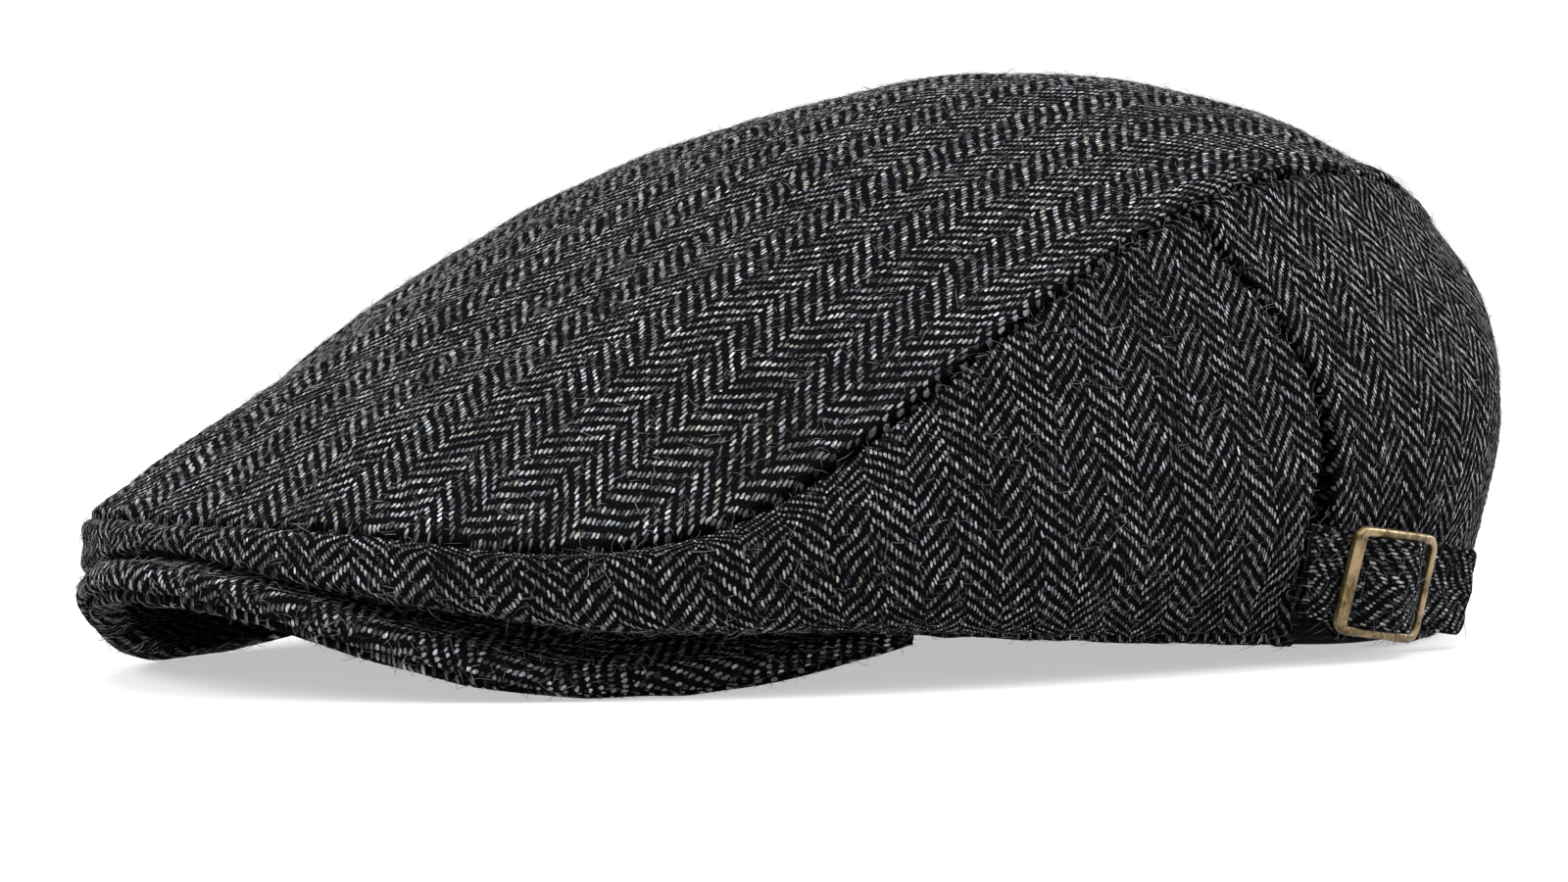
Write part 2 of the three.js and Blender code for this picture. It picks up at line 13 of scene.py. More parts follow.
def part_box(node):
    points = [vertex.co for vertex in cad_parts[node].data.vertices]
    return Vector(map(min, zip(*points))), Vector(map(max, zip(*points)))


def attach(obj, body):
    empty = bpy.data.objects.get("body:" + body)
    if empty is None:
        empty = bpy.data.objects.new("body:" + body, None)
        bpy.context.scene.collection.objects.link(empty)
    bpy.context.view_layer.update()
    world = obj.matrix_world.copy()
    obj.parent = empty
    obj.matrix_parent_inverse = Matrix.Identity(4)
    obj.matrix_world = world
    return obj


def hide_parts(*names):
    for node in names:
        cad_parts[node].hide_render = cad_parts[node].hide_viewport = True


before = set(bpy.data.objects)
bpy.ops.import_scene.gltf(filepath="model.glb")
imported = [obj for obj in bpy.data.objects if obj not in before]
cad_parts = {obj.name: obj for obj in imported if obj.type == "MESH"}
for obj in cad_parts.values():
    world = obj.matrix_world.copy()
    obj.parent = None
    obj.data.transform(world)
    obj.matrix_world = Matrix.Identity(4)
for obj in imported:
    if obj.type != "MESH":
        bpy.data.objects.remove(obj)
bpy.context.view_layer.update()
MM = 0.001

# Crown
CROWN_HEIGHT = 98.5
CROWN_FRONT = 142.3
CROWN_SIDE = 101.8
CROWN_BACK = 114.5
CROWN_FRONT_SQUARENESS = 2.1
CROWN_BACK_SQUARENESS = 2.18
CLOTH = 1.8

# Head opening
HEAD_FRONT = 101
HEAD_SIDE = 86
HEAD_BACK = 103
HEAD_SQUARENESS = 2.2
FRONT_RISE = 21.3
TUCK_RISE = 8.5
HEM = 3

# Peak
PEAK_REACH = 47
PEAK_DROP = 13.3
PEAK_THICKNESS = 5.6
PEAK_ROOT = 3
PEAK_ROOT_DEPTH = 2.4
PEAK_HALF_ANGLE = 57
PEAK_STEP = 10

# Sweatband
SWEATBAND = 1.2
SWEATBAND_HEIGHT = 18

# Strap, buckle and tab
STRAP_WIDTH = 15
STRAP_THICKNESS = 1.6
STRAP_START_ANGLE = 98.5
STRAP_START_HEIGHT = 15.6
STRAP_FALL = 0.115
STRAP_LEAD = 19.5
STRAP_TAIL = 30.5
STRAP_TAIL_STAND = 3.4
STRAP_CORNER = 2.5
STRAP_TOP_EXTRA = (1.1, 0)
STRAP_SKEW = 3.0
STRAP_LINE = 1.9
STRAP_LINE_DIP = (0.2, 0.45)
LEAN_START = 17
LEAN_END = 11.5
BUCKLE_LENGTH = 25.2
BUCKLE_BAR = 1.6
BUCKLE_WIDE_BAR = 2.8
BUCKLE_THICKNESS = 1.6
BUCKLE_CORNER = 3.2
BUCKLE_TURN = 1.6
MIDDLE_BAR = 1.4
TAB_THICKNESS = 0.8
TAB_WIDTH = 11
TAB_LENGTH = 15
TAB_NECK = 2.9
SLIT_WIDTH = 12
GAP = 0.3

# Every 30 degrees from the front to the back, as in the solids.
CROWN_SEAM = (0.97, 1.0, 0.95, 0.865, 0.825, 0.875, 0.905)
CROWN_BELLY = (0.26, 0.21, 0.24, 0.285, 0.37, 0.48, 0.565)
CROWN_RIM = (1.0, 0.63, 0.4, 0.21, 0.045, 0, 0)

# Evenly spaced along the top panel, front to back.
TOP_SPINE = (0.29, 0.497, 0.695, 0.89, 1.0, 0.965, 0.765)
TOP_DROP = (0.55, 0.37, 0.2, 0.18, 0.2, 0.26, 0.3)
TOP_FULLNESS = (3.2, 3.1, 2.5, 2.0, 1.9, 1.9, 1.9)

# Every 15 degrees from the front to the back.
TUCK_REACH = (0.94, 0.93, 0.9, 0.82, 0.7, 0.58, 0.51, 0.51, 0.52, 0.52, 0.51, 0.5, 0.5)
TUCK_LIFT = (0.14, -0.14, -0.25, 0.02, 0.25, 0.45, 0.64, 0.85, 0.96, 0.98, 0.96, 0.98, 1.0)

# Every ten degrees from the middle of the peak to its end.
PEAK_REACHES = (1.0, 0.895, 0.695, 0.475, 0.255, 0.075, -0.01)
PEAK_DROPS = (0.39, 0.5, 0.8, 1.0, 0.83, 0.44, 0.07)
PEAK_THICKS = (1.0, 1.0, 1.0, 1.0, 0.95, 0.7, 0.1)

# Every fifth of the way from the top seam to the rim, at the rear edge of the side panel.
BACK_SEAM_ANGLE = (90.5, 101, 98.9, 100.3, 103.2, 106)
BACK_SEAM_SLIT = (0, 0, 0.3, 0.5, 0.72, 1)

# The cloth's swells, each with its height and its wave length.
TOP_SWELLS = ((0.5, 55), (0.22, 21))
SIDE_SWELLS = ((0.55, 48), (0.2, 19))
PEAK_SWELLS = ((0.3, 34),)
STRAP_SWELLS = ((0.35, 14), (0.18, 5))

# Seams: the roll of the cloth, the padding and the puckers beside it (height, wave length and
# reach), the pull of each stitch, and the groove, the painted shade in it and the allowance behind
# it, each with its depth and width.
SEAM_ROLL = 2.2
SEAM_PAD = 0.5
SEAM_PAD_WIDTH = 7.5
SEAM_PUCKERS = ((0.2, 8, 5), (0.24, 17, 9))
SEAM_PULL = 0.22
SEAM_PULL_REACH = 1.6
SEAM_GROOVE = (0.7, 0.8)
SEAM_PAINTED_SHADE = (1, 1.15)
SEAM_ALLOWANCE = (2.2, 2.0)

# The hem: its rows of points up from the rim, its stitches, the painted shade along the stitch
# line, its swell, roll and pucker, how far it stands out, every 30 degrees from the front, and the
# lift of the back panel's corner.
STITCH_PITCH = 3.3
STITCH_LENGTH = 2.5
STITCH_RADIUS = 0.2
HEM_STITCH_LINE = 4.4
HEM_STEPS = (0, 0.25, 0.55, 0.9, 1.3, 1.8, 2.5, 3.4, HEM_STITCH_LINE, 5.3, 6.4)
HEM_STITCH_ROW = -1 - HEM_STEPS.index(HEM_STITCH_LINE)
HEM_STITCH_DIP = (0.5, 0.6)
HEM_STITCH_PAINTED_SHADE = (0.7, 0.4)
HEM_SWELL = 0.75
HEM_ROLL = 1.3
HEM_PUCKER = 0.2
HEM_STAND = 3.0
HEM_STAND_FROM = 13
HEM_STANDS = (0, 0.1, 0.5, 0.9, 0.1, 0, 0)
CORNER_LIFT = 2.0
CORNER_WIDTH = 32
CORNER_HEIGHT = 12

# The front: how far the top seam lies out and down, and how round the band is above and below.
FRONT_OUT = 1.2
FRONT_DOWN = 1.3
FRONT_SWELL = 1.0
FRONT_ROUND = 4.0
FRONT_TUCK = 3.2
FRONT_FROM = 80
FRONT_FULL = 48

# The peak's edge: where its seam lies on the roll, and its groove, bead and swell with their widths.
PEAK_SEAM_ANGLE = -58.0
PEAK_GROOVE = (0.9, 0.6)
PEAK_BEAD = (1.5, 2.6)
PEAK_BEAD_AT = 3.0
PEAK_BEAD_CLEARANCE = 4
PEAK_SWELL = (0.3, 3.4)
PEAK_PUCKER = 0.16

# Hairs: length and its spread, the share that stand, the longest standing and lying, curl,
# thickness, and how deep their roots are.
HAIR_LENGTH = 2.2
HAIR_SPREAD = 0.5
HAIR_STANDING = 0.06
HAIR_LONGEST = (2.4, 6.0)
HAIR_CURL = 0.45
HAIR_THICKNESS = (0.03, 0.06)
HAIR_ROOT = 0.12

# How the cloth lies: its drift across itself on the sides and at the front of the top panel,
# and how far the top panel is stretched sideways.
SIDE_DRIFT = 0.11
FRONT_DRIFT = -0.0027
FRONT_DRIFT_FROM = -67
TOP_STRETCH = 1.36

low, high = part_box("sweatband")
HEAD_X = (low.x + high.x) / 2
HEAD_Y = (low.y + high.y) / 2 - (HEAD_BACK - HEAD_FRONT) / 2 * MM


def row_frame(points):
    """Millimetres about the head opening's middle, as metres in the row frame."""
    return np.asarray(points, float) * MM + np.array([HEAD_X, HEAD_Y, 0])


# Curves and the shape of the crown

def lerp(a, b, t):
    return a + (b - a) * t


def smoothstep(x, start, end):
    t = np.clip((x - start) / (end - start), 0, 1)
    return t * t * (3 - 2 * t)


def fade(x, start, end):
    return 1 - smoothstep(x, start, end)


def ridge(x, height, width):
    return height * np.exp(-(x / width) ** 2)


def dome(x, height, half):
    """Half an ellipse over the middle, and 0 beyond it."""
    return height * np.sqrt(np.clip(1 - (x / half) ** 2, 0, 1))


def unit(vectors):
    return vectors / np.linalg.norm(vectors, axis=-1, keepdims=True)


def square_to(axis, vectors):
    """Unit vectors turned square to an axis."""
    return unit(vectors - axis * (vectors * axis).sum(-1, keepdims=True))


def hermite(p, q, tangent_p, tangent_q, t):
    t2 = t * t
    t3 = t2 * t
    return ((2 * t3 - 3 * t2 + 1) * p + (t3 - 2 * t2 + t) * tangent_p
            + (3 * t2 - 2 * t3) * q + (t3 - t2) * tangent_q)


def through(values, at, mirror_start=True, mirror_end=True):
    """A smooth curve through evenly spaced values, level at an end that is mirrored."""
    v = np.asarray(values, float)
    last = len(v) - 1
    before = v[1] if mirror_start else 2 * v[0] - v[1]
    after = v[-2] if mirror_end else 2 * v[-1] - v[-2]
    padded = np.concatenate([[before], v, [after]])
    place = np.clip(at, 0, last)
    i = np.minimum(np.floor(place).astype(int), last - 1)
    p0, p1, p2, p3 = (padded[i + k] for k in range(4))
    return hermite(p1, p2, (p2 - p0) / 2, (p3 - p1) / 2, place - i)


def spread(values, share):
    """The place on a smooth curve through values that are spread evenly from 0 to 1."""
    return through(values, share * (len(values) - 1), False, False)


def from_front(angle):
    turned = np.mod(angle, 360)
    return np.where(turned > 180, 360 - turned, turned)


def around(values, angle):
    return through(values, from_front(angle) * (len(values) - 1) / 180)


def oval_radius(angle, front, side, back, front_power, back_power):
    s = np.abs(np.sin(np.radians(angle)))
    c = np.cos(np.radians(angle))
    reach = np.where(c >= 0, front, back)
    power = np.where(c >= 0, front_power, back_power)
    return ((s / side) ** power + (np.abs(c) / reach) ** power) ** (-1 / power)


def joined(*parts):
    return np.stack(np.broadcast_arrays(*parts), -1)


def polar(angle, radius, height):
    a = np.radians(angle)
    return joined(radius * np.sin(a), -radius * np.cos(a), height)


def crown_radius(angle):
    return oval_radius(angle, CROWN_FRONT, CROWN_SIDE, CROWN_BACK,
                       CROWN_FRONT_SQUARENESS, CROWN_BACK_SQUARENESS)


def rim_radius(angle):
    return oval_radius(angle, HEAD_FRONT, HEAD_SIDE, HEAD_BACK, HEAD_SQUARENESS, HEAD_SQUARENESS)


def rim_height(angle):
    return np.maximum(0, FRONT_RISE * around(CROWN_RIM, angle))


def seam_radius(angle):
    return crown_radius(angle) * around(CROWN_SEAM, angle)


TOP_START = -float(seam_radius(0.0))
TOP_END = float(seam_radius(180.0))
TOP_HALF = float(seam_radius(90.0))


def top_height(x, y):
    share = (y - TOP_START) / (TOP_END - TOP_START)
    spine, drop, fullness = (spread(values, share) for values in (TOP_SPINE, TOP_DROP, TOP_FULLNESS))
    return CROWN_HEIGHT * (spine - drop * (np.abs(x) / TOP_HALF) ** fullness)


def side_section(angle):
    """Radius and height of the seam, belly, tuck and rim at each angle."""
    rim_r, rim_z = rim_radius(angle), rim_height(angle)
    belly_r, belly_z = crown_radius(angle), CROWN_HEIGHT * around(CROWN_BELLY, angle)
    tuck_r = lerp(rim_r, belly_r, around(TUCK_REACH, angle))
    tuck_z = rim_z + TUCK_RISE * around(TUCK_LIFT, angle)
    seam_r = seam_radius(angle)
    at = polar(angle, seam_r, 0.0)
    seam_z = top_height(at[..., 0], at[..., 1])
    return (seam_r, belly_r, tuck_r, rim_r), (seam_z, belly_z, tuck_z, rim_z)


def along_section(values, u):
    """One coordinate of a section, from 0 at the seam to 1 at the rim."""
    seam, belly, tuck, rim, belly_fullness = values
    at_belly = (tuck - seam) / 2 * belly_fullness
    at_tuck = (rim - belly) / 2
    at_seam = 1.5 * (belly - seam) - at_belly / 2
    at_rim = 1.5 * (rim - tuck) - at_tuck / 2
    return np.where(
        u < 1 / 3, hermite(seam, belly, at_seam, at_belly, u * 3),
        np.where(u < 2 / 3, hermite(belly, tuck, at_belly, at_tuck, u * 3 - 1),
                 hermite(tuck, rim, at_tuck, at_rim, u * 3 - 2)))


def side_point(angle, u):
    radii, heights = side_section(angle)
    radius = along_section((*radii, 0.2), u)
    height = along_section((*heights, 1.0), u)
    return polar(angle, radius, np.maximum(0, height))


def side_edge(u):
    return spread(BACK_SEAM_ANGLE, u)


def as_angle(length, angle):
    return np.degrees(length / crown_radius(angle))


def open_slit(u):
    return SLIT_WIDTH * np.maximum(0, spread(BACK_SEAM_SLIT, u))


# Grids and meshes

EDGE_STEPS = (0, 0.25, 0.55, 0.9, 1.3, 1.75, 2.3, 3.0, 3.8, 4.7, 5.8)


def plan(length, count, start=EDGE_STEPS, end=EDGE_STEPS):
    """Distances over a length, close together at both ends: (count, ...) for an array of lengths."""
    length = np.asarray(length, float)
    middle = np.linspace(0, 1, count - len(start) - len(end) + 2)[1:-1]
    rows = [np.full(length.shape, float(s)) for s in start]
    rows += [start[-1] + (length - end[-1] - start[-1]) * t for t in middle]
    rows += [length - s for s in reversed(end)]
    return np.stack(rows)


def lengths(points):
    """Distance travelled down the rows of a grid, or along a line."""
    steps = np.linalg.norm(np.diff(points, axis=0), axis=-1)
    return np.concatenate([np.zeros((1, *steps.shape[1:])), np.cumsum(steps, 0)])


def each_column(at, travelled, values):
    """Values read off at distances down each column of a grid."""
    columns = zip(at.T, travelled.T, np.broadcast_to(values, travelled.shape).T)
    return np.stack([np.interp(*column) for column in columns], 1)


def grid_normals(points, wrap=False):
    """Unit normals of a grid, from its rows crossed with its columns."""
    down = np.gradient(points, axis=0)
    if wrap:
        across = (np.roll(points, -1, 1) - np.roll(points, 1, 1)) / 2
    else:
        across = np.gradient(points, axis=1)
    n = np.cross(down, across)
    return n / np.maximum(np.linalg.norm(n, axis=-1, keepdims=True), 1e-9)


def waves(points, length, seed, count=14):
    """Smooth seeded noise of about unit size, with waves of about this length."""
    rng = np.random.default_rng(seed)
    way = unit(rng.normal(size=(count, 3)))
    rate = 2 * math.pi / (length * rng.uniform(0.7, 1.5, count))
    phase = rng.uniform(0, 2 * math.pi, count)
    return np.sin(points @ (way * rate[:, None]).T + phase).sum(-1) * math.sqrt(1 / count)


def ripple(along, length, seed):
    """Smooth seeded noise along a line."""
    return waves(joined(along, 0, 0), length, seed, 10)


def swells(points, sizes, seed):
    """Seeded swells and hollows of soft cloth."""
    return sum(high * waves(points, length, seed + k) for k, (high, length) in enumerate(sizes))


def roll_in(distance, radius):
    """How far a rounded cloth edge falls away at a distance from the edge."""
    d = np.clip(radius - distance, 0, radius)
    return radius - np.sqrt(radius ** 2 - d ** 2)


def seam_relief(distance, along, seed):
    """The cloth beside a seam: rolled in, padded by the allowance and puckered by the stitches."""
    pad = SEAM_PAD * fade(distance, SEAM_PAD_WIDTH * 0.6, SEAM_PAD_WIDTH)
    pucker = sum(high * ripple(along, length, seed + k) * np.exp(-distance / reach)
                 for k, (high, length, reach) in enumerate(SEAM_PUCKERS))
    pull = SEAM_PULL * np.sin(2 * math.pi * along / STITCH_PITCH) * np.exp(-distance / SEAM_PULL_REACH)
    return pad + pucker + pull - ridge(distance, *SEAM_GROOVE) - roll_in(distance, SEAM_ROLL)


def at_front(angle):
    return fade(from_front(angle), FRONT_FULL, FRONT_FROM)


def show(name, data):
    """A new object in the scene."""
    obj = bpy.data.objects.new(name, data)
    bpy.context.scene.collection.objects.link(obj)
    return obj


def make_mesh(name, points, faces, uv, material, replaced=(), layer_name="weave", painted_shade=None):
    """A smooth mesh on the root body, from points in millimetres and a place in the UV map for each.

    The last argument is painted shade: 1 where no light gets at the cloth, as deep in a seam, and 0
    where it does.
    """
    mesh = bpy.data.meshes.new(name)
    mesh.from_pydata(row_frame(points).tolist(), [], faces)
    turned = bmesh.new()
    turned.from_mesh(mesh)
    bmesh.ops.recalc_face_normals(turned, faces=turned.faces)
    turned.to_mesh(mesh)
    turned.free()
    if uv is not None:
        layer = mesh.uv_layers.new(name=layer_name)
        corner = np.empty(len(mesh.loops), np.int32)
        mesh.loops.foreach_get("vertex_index", corner)
        layer.data.foreach_set("uv", np.asarray(uv)[corner].astype(np.float32).ravel())
    if painted_shade is not None:
        attribute = mesh.attributes.new("painted_shade", "FLOAT", "POINT")
        attribute.data.foreach_set("value", np.asarray(painted_shade).astype(np.float32).ravel())
    mesh.shade_smooth()
    mesh.update()
    obj = show(name, mesh)
    mesh.materials.append(material)
    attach(obj, "root")
    if replaced:
        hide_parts(*replaced)


def grid_faces(rows, columns, start=0, flip=False, wrap=False):
    across = np.arange(columns if wrap else columns - 1)
    i, j = np.meshgrid(np.arange(rows - 1) * columns, across, indexing="ij")
    k = (j + 1) % columns
    quads = np.stack([i + j, i + columns + j, i + columns + k, i + k], -1).reshape(-1, 4) + start
    return (quads[:, ::-1] if flip else quads).tolist()


def strip_faces(one, other, close=False):
    """Quads between two rows of vertex numbers."""
    pairs = list(zip(one, other))
    if close:
        pairs.append(pairs[0])
    return [[a, c, d, b] for (a, b), (c, d) in zip(pairs, pairs[1:])]


def wall_mesh(name, outer, inner, uv, material, replaced, painted_shade):
    """A closed wall between two grids of the same size."""
    rows, columns = outer.shape[:2]
    count = rows * columns
    points = np.concatenate([outer.reshape(-1, 3), inner.reshape(-1, 3)])
    faces = grid_faces(rows, columns) + grid_faces(rows, columns, count, True)
    ids = np.arange(count).reshape(rows, columns)
    for one, other in ((ids[0], ids[0] + count), (ids[-1] + count, ids[-1]),
                       (ids[:, 0] + count, ids[:, 0]), (ids[:, -1], ids[:, -1] + count)):
        faces += strip_faces(one.tolist(), other.tolist())
    both = np.concatenate([uv.reshape(-1, 2) * MM] * 2)
    make_mesh(name, points, faces, both, material, replaced,
              painted_shade=np.concatenate([painted_shade.ravel()] * 2))


def ring_mesh(name, sections, uv, material, replaced, closed=False, painted_shade=None):
    """Closed sections joined into a bar, or into a ring if closed."""
    count, size = sections.shape[:2]
    faces = grid_faces(count, size, wrap=True)
    if closed:
        last = (count - 1) * size
        faces += strip_faces([last + k for k in range(size)], list(range(size)), True)
        faces[-size:] = [f[::-1] for f in faces[-size:]]
    else:
        faces.append(list(range(size)))
        faces.append([(count - 1) * size + k for k in reversed(range(size))])
    make_mesh(name, sections.reshape(-1, 3), faces, uv.reshape(-1, 2) * MM, material, replaced,
              painted_shade=painted_shade)


# Cloth panels

def top_weave(x, y):
    """Where the top panel's points lie on the flat cloth: across it and along it."""
    ys = np.arange(TOP_START, TOP_END + 1, 1.0)
    spine = top_height(np.zeros_like(ys), ys)
    travelled = lengths(joined(ys, spine))
    share = np.linspace(0, 1, 17)
    xs = x[..., None] * share
    zs = top_height(xs, y[..., None] + np.zeros_like(xs))
    across = np.hypot(np.diff(xs, axis=-1), np.diff(zs, axis=-1)).sum(-1) * np.sign(x)
    across = across + FRONT_DRIFT * np.minimum(0, y - FRONT_DRIFT_FROM) ** 2
    return joined(across / TOP_STRETCH, np.interp(y, ys, travelled))


def crown_top(material):
    """The domed top panel, a disc of rings from the seam to the middle."""
    spokes, rings, hub = 660, 92, 1.5
    angle = np.arange(spokes) * 360.0 / spokes
    share = np.linspace(1, 0, 241)[:, None]
    reach = seam_radius(angle)[None, :] * share
    rough = polar(angle[None, :], reach, 0.0)
    rough[..., 2] = top_height(rough[..., 0], rough[..., 1])
    travelled = lengths(rough)
    want = plan(travelled[-1] - hub, rings, end=(0,))
    radius = each_column(want, travelled, reach)
    base = polar(angle[None, :], radius, 0.0)
    base[..., 2] = top_height(base[..., 0], base[..., 1])
    normal = grid_normals(base, wrap=True)
    normal *= np.sign(normal[..., 2:])
    along = np.broadcast_to(lengths(base[0]), want.shape)
    relief = seam_relief(want, along, 31) + swells(base, TOP_SWELLS, 11) * smoothstep(want, 0, 25)
    low = at_front(angle)[None, :] * fade(want, 0, 14)
    base = base + polar(angle[None, :], FRONT_OUT, -FRONT_DOWN) * low[..., None]
    outer = base + normal * relief[..., None]
    inner = base - normal * (CLOTH + ridge(want, *SEAM_ALLOWANCE))[..., None]
    kept = np.r_[0:8:2, 8:rings - 1:3, rings - 1]
    count, under = rings * spokes, len(kept) * spokes
    top, bottom = count + under, count + under + 1
    points = np.concatenate([outer.reshape(-1, 3), inner[kept].reshape(-1, 3),
                             [outer[-1].mean(0)], [inner[-1].mean(0)]])
    faces = grid_faces(rings, spokes, flip=True, wrap=True)
    faces += grid_faces(len(kept), spokes, count, wrap=True)
    first = list(range(spokes))
    faces += strip_faces(first, [count + k for k in first], True)
    for row, hub_point in ((count - spokes, top), (count + under - spokes, bottom)):
        faces += [[row + k, row + (k + 1) % spokes, hub_point] for k in first]
    flat = top_weave(base[..., 0], base[..., 1])
    middle = flat[-1].mean(0)
    both = np.concatenate([flat.reshape(-1, 2), flat[kept].reshape(-1, 2), [middle], [middle]])
    # Painted shade: the cloth is painted darker along the seam.
    dark = ridge(want, *SEAM_PAINTED_SHADE)
    dark = np.concatenate([dark.ravel(), dark[kept].ravel(), [0, 0]])
    make_mesh("crown_top_cloth", points, faces, both * MM, material, ["crown_top"],
              painted_shade=dark)
    return outer, normal


def side_panel(name, from_edge, to_edge, columns, seed, material, replaced, corner_lift=0.0):
    """A piece of the side between two edges, given as angles by their place down the section."""
    rows = 84
    us = np.linspace(0, 1, 181)
    start, stop = from_edge(0.5), to_edge(0.5)
    width = float(np.radians(stop - start) * crown_radius((stop + start) / 2))
    share = plan(width, columns) / width
    angles = lerp(from_edge(us)[:, None], to_edge(us)[:, None], share[None, :])
    travelled = lengths(side_point(angles, np.broadcast_to(us[:, None], angles.shape)))
    from_top = plan(travelled[-1], rows, end=HEM_STEPS)
    u = each_column(from_top, travelled, us[:, None])
    angle = lerp(from_edge(u), to_edge(u), share[None, :])
    base = side_point(angle, u)
    normal = grid_normals(base)
    radius = np.hypot(base[..., 0], base[..., 1])
    from_rim = travelled[-1][None, :] - from_top
    from_left = np.radians(angle - from_edge(u)) * radius
    from_right = np.radians(to_edge(u) - angle) * radius
    from_seam = np.minimum(from_top, np.minimum(from_left, from_right))
    belly = np.linspace(-180, 540, 2881)
    run = np.concatenate([[0], np.cumsum(np.radians(0.25) * crown_radius(belly[:-1] + 0.125))])
    run -= np.interp(0, belly, run)
    across = np.interp(angle, belly, run)
    to_belly, to_tuck = (np.array([np.interp(share, us, column) for column in travelled.T])
                         for share in (1 / 3, 2 / 3))
    up = to_belly[None, :] - from_top
    uv = joined(across + SIDE_DRIFT * up, up)
    relief = swells(base, SIDE_SWELLS, seed) * smoothstep(np.minimum(from_seam, from_rim), 0, 22)
    relief = relief + seam_relief(from_top, across, seed + 2)
    for k, distance in ((4, from_left), (6, from_right)):
        relief = relief + seam_relief(distance, from_top, seed + k) * smoothstep(from_top, 1, 5)
    stitch_dip = ridge(from_rim - HEM_STITCH_LINE, *HEM_STITCH_DIP)
    hem_swell = dome(from_rim - HEM_STITCH_LINE / 2, HEM_SWELL, HEM_STITCH_LINE / 2)
    hem_pucker = ripple(across, 9, seed + 8) * ridge(from_rim - 4, HEM_PUCKER, 4)
    relief = relief - stitch_dip + hem_swell + hem_pucker - roll_in(from_rim, HEM_ROLL)
    relief = np.maximum(relief, -2.9)
    stand = HEM_STAND * around(HEM_STANDS, angle) * fade(from_rim, 0, HEM_STAND_FROM)
    outward = polar(angle, 1.0, 0.0)
    down = from_top / to_tuck[None, :]
    from_middle = np.clip(np.abs(2 * down - 1), 0, 1)
    fall = np.where(down < 0.5, FRONT_ROUND, FRONT_TUCK) * (1 - np.sqrt(1 - from_middle ** 2))
    shaped = (FRONT_SWELL - fall) * fade(u, 0.7, 0.95)
    low = at_front(angle) * fade(down, 0, 0.6)
    base = base + outward * (shaped * at_front(angle))[..., None]
    base = base + polar(angle, FRONT_OUT, -FRONT_DOWN) * low[..., None]
    outer = base + normal * relief[..., None] + outward * stand[..., None]
    thick = CLOTH + (HEM - CLOTH) * 0.6 * fade(from_rim, 3, 9) + ridge(from_seam, *SEAM_ALLOWANCE)
    inner = base - normal * thick[..., None] + outward * 0.5 * stand[..., None]
    lift = corner_lift * fade(from_left, 4, CORNER_WIDTH) * fade(from_rim, 0, CORNER_HEIGHT)
    outer[..., 2] = np.maximum(outer[..., 2] + lift, 0)
    inner[..., 2] = np.maximum(inner[..., 2] + lift, 0)
    # Painted shade: the cloth is painted darker along the hem's stitch line and along its seams.
    stitch_painted_shade = ridge(from_rim - HEM_STITCH_LINE, *HEM_STITCH_PAINTED_SHADE)
    painted_shade = np.maximum(ridge(from_seam, *SEAM_PAINTED_SHADE), stitch_painted_shade)
    wall_mesh(name, outer, inner, uv, material, replaced, painted_shade)
    return outer, normal


def side_band(material):
    def right(u):
        return -side_edge(u)

    return side_panel("side_band_cloth", right, side_edge, 400, 41, material, ["side_band"])


def back_panel(material):
    def left(u):
        return side_edge(u) + as_angle(0.1 + open_slit(u), side_edge(u))

    def right(u):
        return 360 - side_edge(u) - as_angle(0.1, side_edge(u))

    return side_panel("back_panel_cloth", left, right, 250, 61, material, ["back_panel"], CORNER_LIFT)


# Peak

def over_peak(values, angle):
    return through(values, np.abs(angle) / PEAK_STEP, True, False)


